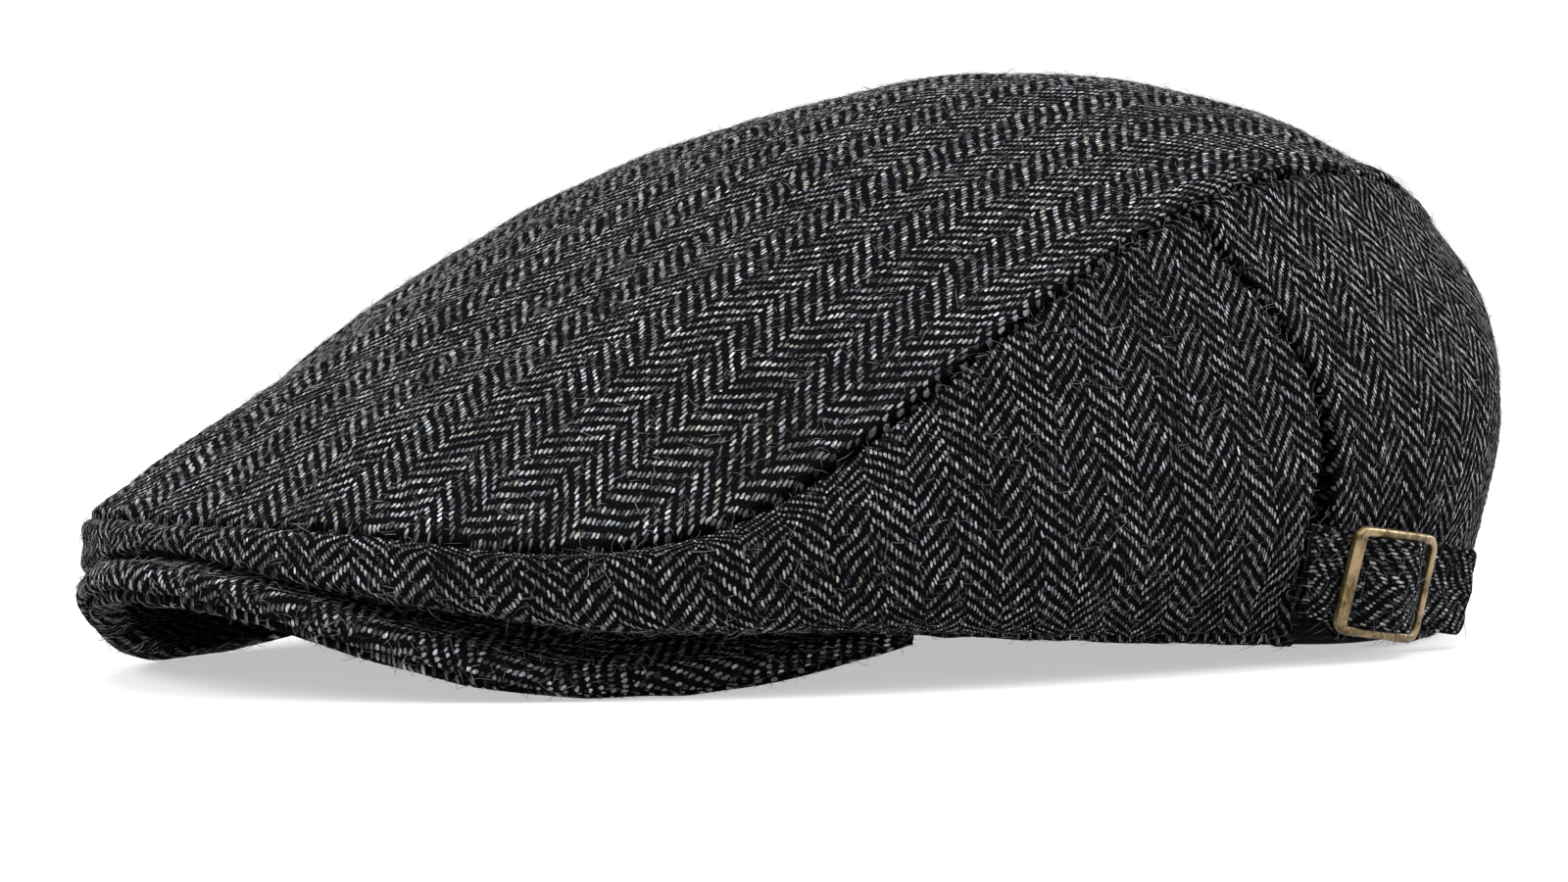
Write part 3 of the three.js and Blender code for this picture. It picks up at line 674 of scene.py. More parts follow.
def peak(material):
    """The peak: top cloth and under cloth over a curved board, meeting in a seam on the rolled edge."""
    count, top_steps, roll_steps, under_steps = 260, 44, 34, 34
    angle = np.linspace(-PEAK_HALF_ANGLE, PEAK_HALF_ANGLE, count)
    rim, height = rim_radius(angle), rim_height(angle)
    thick = PEAK_THICKNESS * over_peak(PEAK_THICKS, angle)
    roll = thick / 2
    edge = rim + PEAK_REACH * over_peak(PEAK_REACHES, angle)
    under = np.maximum(0, height - PEAK_DROP * over_peak(PEAK_DROPS, angle))
    middle = under + roll
    root_in = rim - PEAK_ROOT_DEPTH
    root_top = height - GAP
    root_under = root_top - np.minimum(PEAK_ROOT, thick)

    def slope(t):
        return (t + smoothstep(t, 0, 1)) / 2

    t_top = np.linspace(0, 1, top_steps)[:, None]
    t_under = np.linspace(1, 0, under_steps)[:, None]
    turn = np.radians(np.linspace(90, -90, roll_steps + 2)[1:-1])[:, None]
    radius = np.concatenate([
        lerp(root_in, edge, t_top), edge + roll * np.cos(turn), lerp(root_in, edge, t_under)])
    level = np.concatenate([
        lerp(root_top, middle + roll, slope(t_top)),
        middle + roll * np.sin(turn),
        lerp(root_under, under, slope(t_under))])
    base = polar(angle[None, :], radius, level)
    arc = roll[None, :] * (np.pi / 2 - turn)
    split = np.radians(PEAK_SEAM_ANGLE)
    reach = np.concatenate([
        radius[:top_steps],
        np.where(turn > split, edge + arc, edge + roll * np.pi - arc),
        radius[top_steps + roll_steps:]])
    uv = polar(angle, reach, 0)[..., :2] * (1, -1)
    travelled = lengths(base)
    seam_at = travelled[top_steps - 1] + roll * (np.pi / 2 - split)
    gone = travelled - seam_at[None, :]
    along = np.broadcast_to(lengths(base[top_steps + 8, :, :2]), gone.shape)
    groove = ridge(gone, *PEAK_GROOVE)
    bead = dome(gone - PEAK_BEAD_AT, *PEAK_BEAD) * smoothstep(under, 0, PEAK_BEAD_CLEARANCE)[None, :]
    swell = dome(gone + PEAK_SWELL[1], *PEAK_SWELL)
    pucker = PEAK_PUCKER * ripple(along, 7, 91) * np.exp(-np.abs(gone) / 4)
    soft = swells(base, PEAK_SWELLS, 92) * smoothstep(travelled, 2, 14)
    relief = (bead - groove + swell + pucker + soft) * (thick / PEAK_THICKNESS)[None, :]
    normal = grid_normals(base)
    outer = base + normal * relief[..., None]
    outer[..., 2] = np.maximum(outer[..., 2], 0)
    sections = np.swapaxes(outer, 0, 1)
    # Painted shade: the cloth is painted darker under the peak, from a little past the edge's seam on,
    # and in the seam's groove.
    peak_painted_shade = np.maximum(smoothstep(gone, 4.5, 8), ridge(gone, 1, PEAK_GROOVE[1]))
    ring_mesh("peak_cloth", sections, np.swapaxes(uv, 0, 1), material, ["peak"],
              painted_shade=peak_painted_shade.T)
    return outer, normal, 1 - peak_painted_shade


# Strap, buckle and tab

def side_radius_at(angle, height):
    """Radius of the side's outer face at a height between the belly and the rim."""
    radii, heights = side_section(angle)
    low_u, high_u = np.full(height.shape, 1 / 3), np.ones(height.shape)
    for _ in range(24):
        middle = (low_u + high_u) / 2
        above = along_section((*heights, 1.0), middle) > height
        low_u, high_u = np.where(above, middle, low_u), np.where(above, high_u, middle)
    return along_section((*radii, 0.2), low_u)


def strap_line():
    """The line that the strap follows round the left rear: distance, place and lean at each step."""
    length = STRAP_LEAD + STRAP_TAIL
    across = np.array([-1, -0.5, 0, 0.5, 1]) * STRAP_WIDTH / 2
    travelled, angle, rows = 0.0, STRAP_START_ANGLE, []
    while travelled < length + 4:
        lean = math.radians(lerp(LEAN_START, LEAN_END, min(travelled / length, 1)))
        height = STRAP_START_HEIGHT - STRAP_FALL * travelled
        reach = side_radius_at(angle, height + across * math.cos(lean)) - across * math.sin(lean)
        at = polar(angle, reach.max() + GAP, height)
        if rows:
            travelled += float(np.linalg.norm(at - rows[-1][1]))
        rows.append((travelled, at, lean))
        angle += 0.5
    distance, at, lean = (np.array(column) for column in zip(*rows))
    ahead = np.gradient(at, axis=0) * [1, 1, 0]
    padded = np.pad(ahead, ((5, 5), (0, 0)), mode="edge")
    smooth = sum(padded[k:k + len(ahead)] for k in range(11))
    return distance, at, unit(smooth), lean


STRAP_DISTANCE, STRAP_AT, STRAP_AHEAD, STRAP_LEAN = strap_line()


def on_strap(along, up, out):
    """A place along the strap's line from the buckle's middle, up it and out from it."""
    along, up, out = np.broadcast_arrays(*(np.asarray(v, float) for v in (along, up, out)))

    def at(values):
        return np.interp(along + STRAP_LEAD, STRAP_DISTANCE, values)

    place = np.stack([at(STRAP_AT[:, k]) for k in range(3)], -1)
    ahead_x, ahead_y, lean = at(STRAP_AHEAD[:, 0]), at(STRAP_AHEAD[:, 1]), at(STRAP_LEAN)
    size = np.hypot(ahead_x, ahead_y)
    out_x, out_y = ahead_y / size, -ahead_x / size
    rise = joined(out_x * np.sin(lean), out_y * np.sin(lean), np.cos(lean))
    normal = joined(out_x * np.cos(lean), out_y * np.cos(lean), -np.sin(lean))
    return place + rise * up[..., None] + normal * out[..., None]


WINDOW_HALF = BUCKLE_LENGTH / 2 - BUCKLE_BAR
STRAP_LOW = TAB_THICKNESS + GAP
BUCKLE_LEVEL = STRAP_LOW + STRAP_THICKNESS + GAP + BUCKLE_THICKNESS / 2
EYE_INNER = MIDDLE_BAR / 2 + GAP
EYE_OUTER = EYE_INNER + TAB_THICKNESS
STRAP_HIGH = BUCKLE_LEVEL + EYE_OUTER + GAP


def strap_stand(along):
    """How far the strap's under face stands off its line."""
    lead = STRAP_LOW * smoothstep(along, -STRAP_LEAD, -WINDOW_HALF)
    tail = lerp(STRAP_LOW, STRAP_TAIL_STAND, smoothstep(along, WINDOW_HALF + BUCKLE_BAR, STRAP_TAIL))
    front_half = WINDOW_HALF - (BUCKLE_WIDE_BAR - BUCKLE_BAR)
    half = np.where(along < 0, front_half, WINDOW_HALF)
    bump = ((1 + np.cos(math.pi * np.clip(along / half, -1, 1))) / 2) ** 0.6
    return np.where(along < -WINDOW_HALF, lead,
                    np.where(along > WINDOW_HALF, tail, lerp(STRAP_LOW, STRAP_HIGH, bump)))


def rounded_section(half_wide, half_high, radius, flat_steps, corner_steps):
    """Points round a box with rounded corners, from its lower right corner."""
    corners, points = [], []
    for side, up, start in ((1, -1, -90), (1, 1, 0), (-1, 1, 90), (-1, -1, 180)):
        turn = np.radians(np.linspace(start, start + 90, corner_steps))
        corners.append(joined(side * (half_wide - radius) + radius * np.cos(turn),
                              up * (half_high - radius) + radius * np.sin(turn)))
    for k, corner in enumerate(corners):
        share = np.linspace(0, 1, (flat_steps if k % 2 else 3) + 2)[1:-1, None]
        points += [corner, lerp(corner[-1], corners[(k + 1) % 4][0], share)]
    return np.concatenate(points)


def strap(material):
    """The strap: sewn at the front, threaded through the buckle, with rounded corners on its tail."""
    end = STRAP_TAIL - 0.3 * np.arange(8)[::-1] ** 1.4 / 7
    along = np.concatenate([np.linspace(-STRAP_LEAD, end[0] - 0.3, 210), end])
    left = np.minimum(STRAP_TAIL - along, STRAP_CORNER)
    half = STRAP_WIDTH / 2 - STRAP_CORNER + np.sqrt(STRAP_CORNER ** 2 - (STRAP_CORNER - left) ** 2)
    section = rounded_section(STRAP_WIDTH / 2, STRAP_THICKNESS / 2, 0.62, 34, 6)
    across = section[None, :, 0] * half[:, None] / (STRAP_WIDTH / 2)
    widen = lerp(*STRAP_TOP_EXTRA, (along + STRAP_LEAD) / (STRAP_LEAD + STRAP_TAIL))
    from_foot = 0.5 + section[None, :, 0] / STRAP_WIDTH
    across = across + from_foot * widen[:, None]
    level = strap_stand(along)[:, None] + STRAP_THICKNESS / 2
    skew = fade(along, -STRAP_LEAD, -12)[:, None] * STRAP_SKEW * from_foot
    flat_places = joined(along[:, None], across, 0)
    centre = on_strap(along[:, None] - skew, across, level + swells(flat_places, STRAP_SWELLS, 71))
    face = grid_normals(np.stack([on_strap(along, up, level[:, 0]) for up in (-1.0, 1.0)], 1))
    outward = (on_strap(along, 0, 1.0) - on_strap(along, 0, 0.0))[:, None]
    face *= np.sign((face * outward).sum(-1, keepdims=True))
    from_edge = half[:, None] * (1 - np.abs(section[None, :, 0]) / (STRAP_WIDTH / 2))
    hollow = ridge(from_edge - STRAP_LINE, *STRAP_LINE_DIP)
    rise = section[None, :, 1] - np.sign(section[None, :, 1]) * hollow
    points = centre + face[:, :1] * rise[..., None]
    run = lengths(centre[:, 0])
    turn = np.where(section[:, 1] >= 0, section[:, 0], 2 * STRAP_WIDTH - section[:, 0])
    turn = turn[None, :] * half[:, None] / (STRAP_WIDTH / 2)
    uv = joined(turn, run[:, None])
    ring_mesh("strap_cloth", points, uv, material, ["strap"])
    top = np.where(section[:, 1] > 0.5)[0]
    return points[:, top], np.broadcast_to(face[:, :1], (len(along), len(top), 3))


def buckle_turned(along, up):
    """The buckle's own turn on the strap."""
    turn = math.radians(BUCKLE_TURN)
    return (along * math.cos(turn) + up * math.sin(turn),
            up * math.cos(turn) - along * math.sin(turn))


def buckle_mesh(material):
    """The buckle: a frame bent to the head's curve, wide at its front, with a thin middle bar."""
    half_long = BUCKLE_LENGTH / 2 - BUCKLE_BAR / 2
    half_high = STRAP_WIDTH / 2 + GAP + BUCKLE_BAR / 2
    radius = BUCKLE_CORNER - BUCKLE_BAR / 2
    path = rounded_section(half_long, half_high, radius, 26, 14)
    ahead = np.roll(path, -1, 0) - np.roll(path, 1, 0)
    out = unit(joined(ahead[:, 1], -ahead[:, 0]))
    section = rounded_section(BUCKLE_BAR / 2, BUCKLE_THICKNESS / 2, 0.42, 5, 7)
    front = smoothstep(-out[:, 0], 0.2, 1.0)
    inside = np.clip(0.5 - section[:, 0] / BUCKLE_BAR, 0, 1)
    reach = section[None, :, 0] - (BUCKLE_WIDE_BAR - BUCKLE_BAR) * front[:, None] * inside[None, :]
    along = path[:, None, 0] + reach * out[:, None, 0]
    up = path[:, None, 1] + reach * out[:, None, 1]
    ring = on_strap(*buckle_turned(along, up), BUCKLE_LEVEL + section[None, :, 1])
    count, size = ring.shape[:2]
    faces = grid_faces(count, size, wrap=True)
    last = (count - 1) * size
    faces += [[last + k, k, (k + 1) % size, last + (k + 1) % size] for k in range(size)]
    steps, sides = 24, 20
    turn = np.radians(np.arange(sides) * (360 / sides))[None, :]
    bar_up = np.linspace(-half_high, half_high, steps)
    bar_along, bar_up = buckle_turned(MIDDLE_BAR / 2 * np.cos(turn), bar_up[:, None])
    bar = on_strap(bar_along, bar_up, BUCKLE_LEVEL + MIDDLE_BAR / 2 * np.sin(turn))
    start = count * size
    faces += grid_faces(steps, sides, start, wrap=True)
    faces += [[start + k for k in range(sides)],
              [start + (steps - 1) * sides + k for k in reversed(range(sides))]]
    points = np.concatenate([ring.reshape(-1, 3), bar.reshape(-1, 3)])
    make_mesh("buckle_frame", points, faces, None, material, ["buckle"])


def ribbon(name, line, half_wide, half_thick, material, replaced):
    """A flat ribbon that follows a line of (along, out) places in the strap's frame."""
    line = np.asarray(line)
    ahead = unit(np.gradient(line, axis=0))
    section = rounded_section(half_wide, half_thick, half_thick * 0.9, 12, 5)
    along = line[:, None, 0] - ahead[:, None, 1] * section[None, :, 1]
    out = line[:, None, 1] + ahead[:, None, 0] * section[None, :, 1]
    points = on_strap(along, section[None, :, 0], out)
    uv = joined(section[None, :, 0], lengths(line)[:, None])
    ring_mesh(name, points, uv, material, replaced)


def buckle_tab(material):
    """The tab: sewn to the back panel under the strap, and looped round the buckle's middle bar."""
    eye = (EYE_INNER + EYE_OUTER) / 2
    turn = np.radians(np.linspace(-20, 245, 40))
    loop = joined(eye * np.cos(turn), BUCKLE_LEVEL + eye * np.sin(turn))
    share = np.linspace(0, 1, 24)
    flat = joined(lerp(TAB_LENGTH, TAB_NECK, share), TAB_THICKNESS / 2)[:-1]
    climb = np.linspace(0, 1, 12)[:-1]
    start, stop = np.array([TAB_NECK, TAB_THICKNESS / 2]), loop[0]
    pull_in, pull_out = np.array([-3.2, 0.0]), np.array([0.34, 0.94]) * 4
    bend = hermite(start, stop, pull_in, pull_out, climb[:, None])
    line = np.concatenate([flat, bend, loop])
    ribbon("buckle_tab_tape", line, TAB_WIDTH / 2, TAB_THICKNESS / 2, material,
           ["buckle_tab"])


def sweatband(material):
    """The sweatband: a plain tape standing inside the rim."""
    columns = 420
    angle = np.arange(columns) * 360.0 / columns
    outer = rim_radius(angle) - HEM - GAP
    foot = rim_height(angle)
    section = rounded_section(SWEATBAND / 2, SWEATBAND_HEIGHT / 2, 0.5, 3, 5)
    radius = outer[:, None] - SWEATBAND / 2 + section[None, :, 0]
    points = polar(angle[:, None], radius, foot[:, None] + SWEATBAND_HEIGHT / 2 + section[None, :, 1])
    run = lengths(points[:, 0, :2])
    uv = joined(run[:, None], section[None, :, 1])
    ring_mesh("sweatband_tape", points, uv, material, ["sweatband"], closed=True)


# Threads and hairs

def hem_stitches(name, face, normal, material):
    """A line of short rounded stitches, each lying along the hem at its place."""
    line = face[HEM_STITCH_ROW]
    travelled = lengths(line)
    place = np.arange(5.0, travelled[-1] - 5.0, STITCH_PITCH)
    centres, ahead, out = (
        np.stack([np.interp(place, travelled, column) for column in values.T], -1)[:, None, None]
        for values in (line, np.gradient(line, axis=0), normal[HEM_STITCH_ROW]))
    ahead = unit(ahead)
    out = square_to(ahead, out)
    share = np.array([-1, -0.9, -0.6, 0, 0.6, 0.9, 1])[:, None, None]
    wide = np.array([0.15, 0.55, 0.9, 1, 0.9, 0.55, 0.15])[:, None, None] * STITCH_RADIUS
    turn = np.radians(np.arange(6) * 60.0)[:, None]
    level = 0.05 - 0.5 * STITCH_RADIUS * share ** 4 + wide * np.sin(turn)
    points = (centres + ahead * share * (STITCH_LENGTH / 2) + out * level
              + np.cross(ahead, out) * wide * np.cos(turn))
    one = grid_faces(7, 6, wrap=True) + [[0, 1, 2, 3, 4, 5], [41, 40, 39, 38, 37, 36]]
    faces = [[v + 42 * n for v in f] for n in range(len(place)) for f in one]
    make_mesh(name, points.reshape(-1, 3), faces, None, material)


def hairs(name, grid, normal, count, seed, material, weight=None):
    """Loose wool hairs on a cloth face: thin closed tubes of three sides that taper to a point."""
    rng = np.random.default_rng(seed)
    down, across = np.diff(grid, axis=0)[:, :-1], np.diff(grid, axis=1)[:-1]
    area = np.linalg.norm(np.cross(down, across), axis=-1)
    if weight is not None:
        area = area * weight[:-1, :-1]
    picked = rng.choice(area.size, count, p=(area / area.sum()).ravel())
    i, j = np.unravel_index(picked, area.shape)
    s, t = rng.random((2, count, 1))
    n = normal[i, j]
    root = grid[i, j] + down[i, j] * s + across[i, j] * t - HAIR_ROOT * n
    way = square_to(n, rng.normal(size=(count, 3)))
    bend = np.cross(way, n)
    long = HAIR_LENGTH * np.exp(rng.normal(0, HAIR_SPREAD, (count, 1)))
    stands = rng.random((count, 1)) < HAIR_STANDING
    lift = np.where(stands, rng.uniform(0.2, 0.6, (count, 1)), rng.uniform(0.01, 0.1, (count, 1)))
    curl = rng.normal(0, HAIR_CURL, (count, 1))
    long = np.minimum(long, np.where(stands, *HAIR_LONGEST))
    knee = root + way * long * 0.5 + n * (0.16 + lift * long * 0.6) + bend * curl * long * 0.2
    tip = root + way * long * 0.92 + n * (0.1 + lift * long * rng.uniform(0.4, 1.1, (count, 1)))
    tip = tip + bend * curl * long * 0.7
    thick = rng.uniform(*HAIR_THICKNESS, (count, 1))
    points = np.empty((count, 7, 3))
    for k, a in enumerate(np.radians((90, 210, 330))):
        spoke = n * math.sin(a) + bend * math.cos(a)
        points[:, k] = root + spoke * thick
        points[:, 3 + k] = knee + spoke * thick * 0.85
    points[:, 6] = tip
    points[..., 2] = np.maximum(points[..., 2], 0)
    one = np.array([[0, 1, 4, 3], [1, 2, 5, 4], [2, 0, 3, 5]])
    ends = np.array([[2, 1, 0], [3, 4, 6], [4, 5, 6], [5, 3, 6]])
    step = 7 * np.arange(count)[:, None, None]
    faces = (one[None] + step).reshape(-1, 4).tolist() + (ends[None] + step).reshape(-1, 3).tolist()
    cells = math.ceil(math.sqrt(count))
    corner = joined(np.arange(count) % cells, np.arange(count) // cells)[:, None]
    spot = np.array([(x, y) for y in (0.2, 0.5) for x in (0.2, 0.5, 0.8)] + [(0.5, 0.8)])
    baked = ((corner + spot[None]) / cells).reshape(-1, 2)
    make_mesh(name, points.reshape(-1, 3), faces, baked, material, (), "OFBake")


# Materials

class Shade:
    """A shader socket that takes arithmetic: each step of it is one Math node."""

    def __init__(self, tree, socket):
        self.tree = tree
        self.socket = socket

    def step(self, operation, *others):
        return node(self.tree, "Math", dict(enumerate((self, *others))), operation=operation)

    def __add__(self, other):
        return self.step("ADD", other)

    def __sub__(self, other):
        return self.step("SUBTRACT", other)

    def __mul__(self, other):
        return self.step("MULTIPLY", other)

    def __truediv__(self, other):
        return self.step("DIVIDE", other)

    def power(self, other):
        return self.step("POWER", other)

    def span(self, start, end, to_start=0.0, to_end=1.0, kind="SMOOTHSTEP"):
        """Its place between two values, carried over to two others."""
        values = dict(enumerate((self, start, end, to_start, to_end)))
        return node(self.tree, "MapRange", values, interpolation_type=kind)


def node(tree, kind, inputs, output=0, **settings):
    """A shader node with its settings, and its inputs set or linked; gives one of its outputs."""
    made = tree.nodes.new("ShaderNode" + kind)
    for name, value in settings.items():
        setattr(made, name, value)
    for name, value in inputs.items():
        feed(tree, made.inputs[name], value)
    return Shade(tree, made.outputs[output])


def feed(tree, socket, value):
    if isinstance(value, Shade):
        tree.links.new(value.socket, socket)
    else:
        socket.default_value = value


def principled(name, **inputs):
    material = bpy.data.materials.new(name)
    material.use_nodes = True
    tree = material.node_tree
    shader = tree.nodes["Principled BSDF"]
    for key, value in inputs.items():
        shader.inputs[key.replace("_", " ")].default_value = value
    return material, tree, shader


def noise(tree, place, size, detail=2.0, rough=0.5, output=0):
    """Noise with features of about this size, from 0 to 1."""
    values = {"Vector": place, "Scale": 1 / size, "Detail": detail, "Roughness": rough}
    return node(tree, "TexNoise", values, output)


def grey(tree, value):
    return node(tree, "CombineColor", {0: value, 1: value, 2: value})


def blend_colour(tree, share, one, other, kind="MIX"):
    return node(tree, "Mix", {0: share, 6: one, 7: other}, 2, data_type="RGBA", blend_type=kind)


def shaded(tree, colour, value):
    """A colour times a brightness."""
    return blend_colour(tree, 1.0, colour, grey(tree, value), "MULTIPLY")


def bump(tree, shader, height, strength, distance):
    values = {"Strength": strength, "Distance": distance, "Height": height}
    feed(tree, shader.inputs["Normal"], node(tree, "Bump", values))


# Tweed, in millimetres: half a V and its slope, the length and share of a float and how uneven it
# is, the width and slant of an end, and how far the weave wanders and trembles over what length.
V_HALF = 6.75
V_SLOPE = 1.09
FLOAT_PITCH = 2.85
FLOAT_SHARE = 0.47
FLOAT_UNEVEN = 0.16
END_PITCH = 0.6
END_SLANT = 0.06
WANDER = (1.3, 1.5)
WANDER_SIZE = 6.0
TREMBLE = (0.36, 0.6)
TREMBLE_SIZE = 0.8
GRAIN_RATE = (8.0, 2.2)
CLOUD_SIZE = 24.0
PATCH_SIZE = 2.6
FLECK_SIZE = 1.7

# Its wool and flecks, from one colour to another, and its ground, with their brightness
WOOL = ((0.93, 0.98, 1.06, 1), (1.05, 1.0, 0.9, 1))
FLECKS = ((1.8, 0.75, 0.3, 1), (1.5, 1.0, 0.5, 1))
GROUND = (0.92, 0.98, 1.1, 1)
WOOL_LEAST = 0.024
WOOL_RANGE = 0.27
GROUND_LIGHT = (0.0012, 0.009)
# How bright the cloth stays under the deepest painted shade.
PAINTED_SHADE_LIGHT = 0.08

HAIR_COLOURS = ((0.97, 0.99, 1.03, 1), (1.2, 0.95, 0.7, 1))
BRASS = ((0.07, 0.048, 0.017, 1), (0.27, 0.2, 0.11, 1))


def cloth_place(tree):
    """The place on the flat cloth in millimetres."""
    flat = node(tree, "UVMap", {}, uv_map="weave")
    return node(tree, "VectorMath", {0: flat, 3: 1 / MM}, operation="SCALE")


def apart(tree, vector):
    split = tree.nodes.new("ShaderNodeSeparateXYZ")
    feed(tree, split.inputs[0], vector)
    return [Shade(tree, split.outputs[k]) for k in range(3)]


def tweed_material():
    """Herringbone: rows of short wool floats, turned about at each V, over a near-black ground."""
    material, tree, shader = principled("tweed", Roughness=0.95, Specular_IOR_Level=0.0)
    place = cloth_place(tree)
    wander = apart(tree, noise(tree, place, WANDER_SIZE, 1.0, output=1))
    tremble = apart(tree, noise(tree, place, TREMBLE_SIZE, 1.0, output=1))
    x, y = (flat + (wander[k] - 0.5) * WANDER[k] + (tremble[k] - 0.5) * TREMBLE[k]
            for k, flat in enumerate(apart(tree, place)[:2]))
    end = (x + y * END_SLANT) / END_PITCH
    end_number = end.step("FLOOR")
    beside = (end.step("FRACT") - 0.5) * 2.0
    middle = (end_number + 0.5) * END_PITCH - y * END_SLANT
    rise = middle.step("PINGPONG", V_HALF)
    leg = (middle / V_HALF).step("FLOOR")
    row = (y + rise * V_SLOPE) / FLOAT_PITCH + (leg * 0.5).step("FRACT")
    row_number = row.step("FLOOR")
    number = node(tree, "CombineXYZ", {0: end_number, 1: row_number})
    lucks = apart(tree, node(tree, "TexWhiteNoise", {0: number}, 1, noise_dimensions="3D"))
    luck = node(tree, "TexWhiteNoise", {0: number}, 0, noise_dimensions="3D")
    share = (lucks[2] - 0.5) * FLOAT_UNEVEN + FLOAT_SHARE
    along = row.step("FRACT") / share * 2.0 - 1.0
    shape = along.step("ABSOLUTE").power(2.5) + beside.step("ABSOLUTE").power(2.0) * 1.45
    stroke = shape.span(1.15, 0.35)
    grain_place = node(tree, "CombineXYZ", {
        0: (x + y * END_SLANT) * GRAIN_RATE[0], 1: y * GRAIN_RATE[1]})
    grain = noise(tree, grain_place, 1.0, 3.0, 0.6)
    cloud = noise(tree, place, CLOUD_SIZE, 3.0, 0.6)
    patch = noise(tree, place, PATCH_SIZE, 3.0, 0.65)
    light = luck.power(1.8) * WOOL_RANGE + WOOL_LEAST
    light = light * grain.span(0.3, 0.7, 0.35, 1.8) * cloud.span(0.3, 0.7, 0.8, 1.2)
    light = light * patch.span(0.3, 0.7, 0.55, 1.4)
    wool = blend_colour(tree, lucks[1].span(0.2, 0.9), *WOOL)
    fleck = blend_colour(tree, lucks[0].span(0.3, 0.6), *FLECKS)
    wool = blend_colour(tree, noise(tree, place, FLECK_SIZE, 1.0).span(0.74, 0.78), wool, fleck)
    dark = noise(tree, grain_place, 0.8, 2.0, 0.6).span(0.4, 0.8, *GROUND_LIGHT)
    cloth = blend_colour(tree, stroke, shaded(tree, GROUND, dark), shaded(tree, wool, light))
    # Painted shade: the mesh's point attribute darkens the cloth's colour in seams, along the hem's
    # stitch line and under the peak.
    painted_shade = node(tree, "Attribute", {}, "Fac", attribute_name="painted_shade")
    dim = painted_shade.span(0.0, 1.0, 1.0, PAINTED_SHADE_LIGHT, "LINEAR")
    feed(tree, shader.inputs["Base Color"], shaded(tree, cloth, dim))
    bump(tree, shader, stroke * (luck * 0.4 + 0.6) + grain * 0.35, 0.9, 0.0003)
    return material


def hair_material():
    """Loose wool: grey to pale, each hair its own shade, a few of them brown."""
    material, tree, shader = principled("wool_hair", Roughness=0.8, Specular_IOR_Level=0.05)
    luck = node(tree, "NewGeometry", {}, "Random Per Island")
    shade = luck.power(1.6) * 0.22 + 0.01
    tint = (luck * 17.0).step("FRACT").span(0.93, 0.95)
    colour = blend_colour(tree, tint, *HAIR_COLOURS)
    feed(tree, shader.inputs["Base Color"], shaded(tree, colour, shade))
    return material


def thread_material():
    material, tree, shader = principled("thread", Roughness=0.7, Specular_IOR_Level=0.1)
    place = node(tree, "TexCoord", {}, "Object")
    shade = noise(tree, place, 0.0003, 2.0).span(0.3, 0.7, 0.004, 0.016)
    feed(tree, shader.inputs["Base Color"], grey(tree, shade))
    return material


def brass_material():
    """Satin antique brass: pebbled, darker in patches."""
    material, tree, shader = principled("antique_brass", Metallic=1.0)
    place = node(tree, "TexCoord", {}, "Object")
    patina = noise(tree, place, 0.004, 4.0, 0.65)
    pebble = noise(tree, place, 0.00035, 3.0, 0.6)
    feed(tree, shader.inputs["Base Color"], blend_colour(tree, patina.span(0.38, 0.62), *BRASS))
    feed(tree, shader.inputs["Roughness"], patina.span(0.3, 0.7, 0.42, 0.3) + pebble * 0.1)
    bump(tree, shader, pebble, 0.5, 0.00006)
    return material


def tape_material():
    """Plain black tape with fine ribs across it."""
    material, tree, shader = principled("black_tape", Roughness=0.8, Specular_IOR_Level=0.1)
    x, y, _ = apart(tree, cloth_place(tree))
    rib = (y * 5.5).step("SINE") * 0.5 + (x * 9.0).step("SINE") * 0.25
    shade = rib.span(-0.75, 0.75, 0.003, 0.0075)
    feed(tree, shader.inputs["Base Color"], grey(tree, shade))
    bump(tree, shader, rib, 0.6, 0.00012)
    return material


tweed = tweed_material()
hair = hair_material()
thread = thread_material()
brass = brass_material()
tape = tape_material()

top_face, top_normal = crown_top(tweed)
side_face, side_normal = side_band(tweed)
back_face, back_normal = back_panel(tweed)
peak_face, peak_normal, peak_open = peak(tweed)
strap_face, strap_normal = strap(tweed)
buckle_mesh(brass)
buckle_tab(tape)
sweatband(tape)

hem_stitches("side_band_stitches", side_face, side_normal, thread)
hem_stitches("back_panel_stitches", back_face, back_normal, thread)
hairs("crown_top_hairs", top_face, top_normal, 15000, 1, hair)
hairs("side_band_hairs", side_face, side_normal, 11000, 2, hair)
hairs("back_panel_hairs", back_face, back_normal, 7000, 3, hair)
hairs("peak_hairs", peak_face, peak_normal, 5000, 4, hair, weight=peak_open)
hairs("strap_hairs", strap_face, strap_normal, 700, 5, hair)


# Floor, lights and camera

def floor():
    radius, steps, level = 1.15, 96, -0.0002
    turn = np.radians(np.arange(steps) * 360 / steps)
    rim = [(radius * math.sin(a), radius * math.cos(a), level) for a in turn]
    mesh = bpy.data.meshes.new("floor")
    mesh.from_pydata(rim, [], [tuple(range(steps))])
    obj = show("floor", mesh)
    # The floor glows a little: its own light keeps the cap's shadow on it pale and lights the cap from
    # below.
    material, _, _ = principled(
        "glowing_pale_floor", Base_Color=(0.4, 0.4, 0.4, 1), Roughness=1.0, Specular_IOR_Level=0.0,
        Emission_Color=(1, 1, 1, 1), Emission_Strength=0.5)
    mesh.materials.append(material)


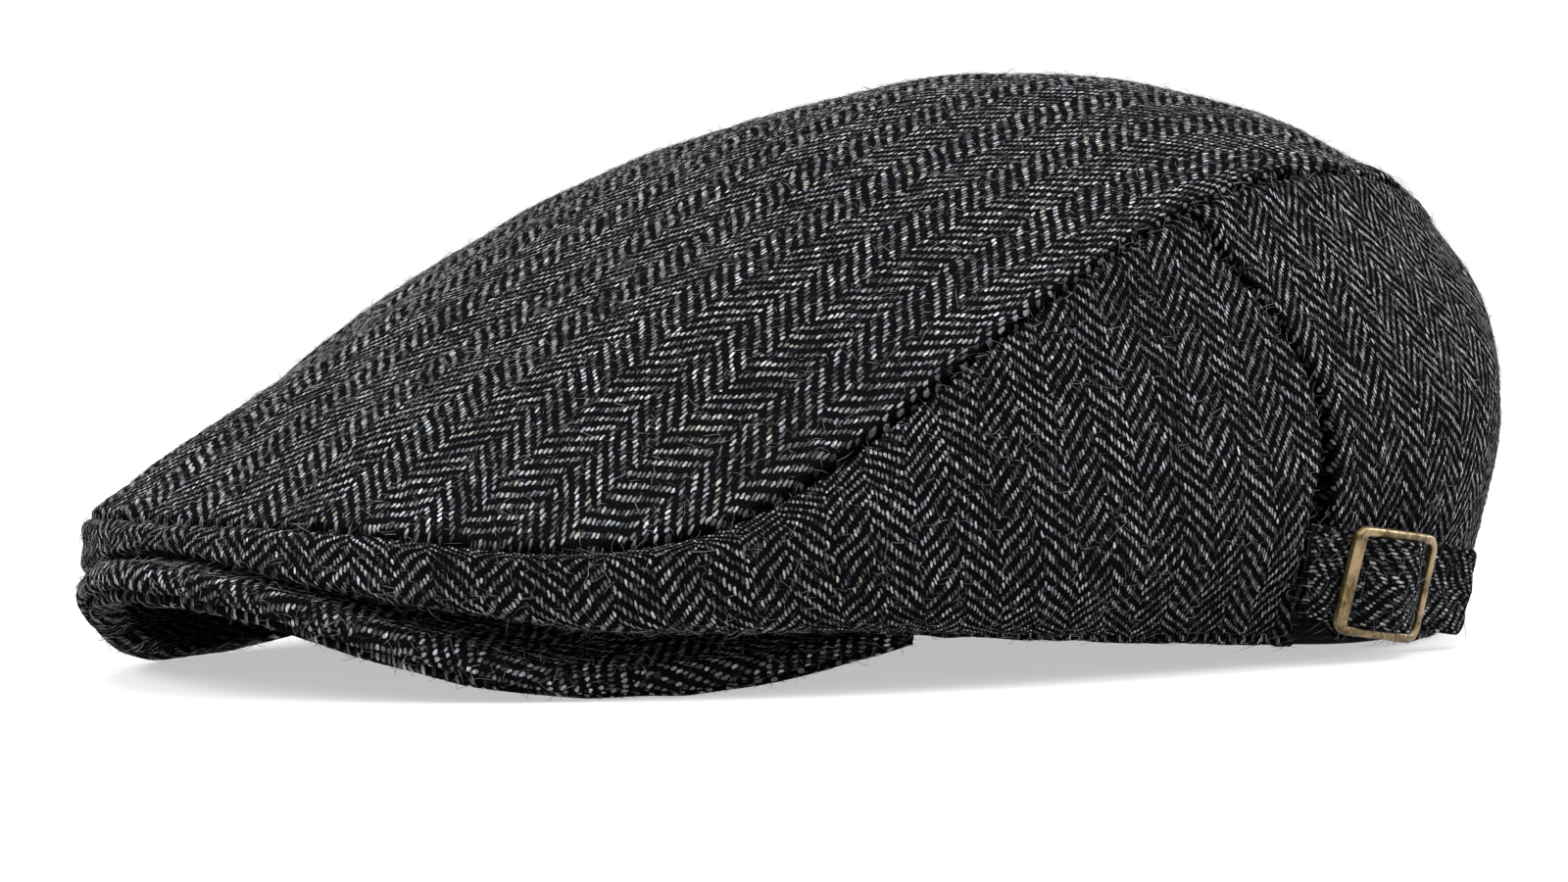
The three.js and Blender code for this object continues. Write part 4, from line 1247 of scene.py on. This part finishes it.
def area_light(name, at, target, size, watts):
    light = bpy.data.lights.new(name, "AREA")
    light.shape = "SQUARE"
    light.size = size
    light.energy = watts
    obj = show(name, light)
    obj.location = at
    obj.rotation_euler = (Vector(target) - Vector(at)).to_track_quat("-Z", "Y").to_euler()


# The camera: its angles, how far its aim is off the target, the target and distance in
# millimetres, and the lean that lets the photograph's cap stand flat, about a line behind it.
CAMERA_ANGLES = (52.463, 1.579, -0.510)
CAMERA_AIM = (0.002922, -0.012492)
CAMERA_TARGET = (0, -20, 50)
CAMERA_DISTANCE = 1200
CAMERA_LENS = 159.4
LEAN = 0.00866
LEAN_LINE = 103


def camera():
    azimuth = CAMERA_ANGLES[0]
    elevation, roll = np.radians(CAMERA_ANGLES[1:])
    back = polar(azimuth, math.cos(elevation), math.sin(elevation))
    right = polar(azimuth + 90, 1, 0)
    up = np.cross(back, right)
    across = right * math.cos(roll) + up * math.sin(roll)
    rise = up * math.cos(roll) - right * math.sin(roll)
    forward = -back + CAMERA_AIM[0] * across + CAMERA_AIM[1] * rise
    backward = unit(-forward)
    across = square_to(backward, across)
    place = np.array(CAMERA_TARGET) + CAMERA_DISTANCE * back
    place[2] += LEAN * (LEAN_LINE - place[1])
    leaned = np.array([[1, 0, 0], [0, 1, LEAN], [0, -LEAN, 1]])
    axes = leaned @ np.stack([across, np.cross(backward, across), backward], 1)
    obj = show("camera", bpy.data.cameras.new("camera"))
    obj.data.sensor_width = 36
    obj.data.lens = CAMERA_LENS
    obj.data.clip_end = 100
    at = Matrix.Translation(Vector(row_frame(place)))
    obj.matrix_world = at @ Matrix(axes.tolist()).to_4x4()
    bpy.context.scene.camera = obj


floor()
area_light("top_softbox", (0.1, 0.1, 1.6), (0, 0, 0), 2.4, 60)
area_light("front_light", (-0.5, -1.2, 0.9), (0, -0.05, 0.03), 0.7, 24)
area_light("rear_light", (0.5, 1.5, 0.5), (0, 0.05, 0.04), 0.8, 20)
world = bpy.data.worlds.new("studio")
world.use_nodes = True
background = world.node_tree.nodes["Background"]
background.inputs["Color"].default_value = (1, 1, 1, 1)
background.inputs["Strength"].default_value = 1.0
bpy.context.scene.world = world
bpy.context.scene.view_settings.view_transform = "Standard"
camera()
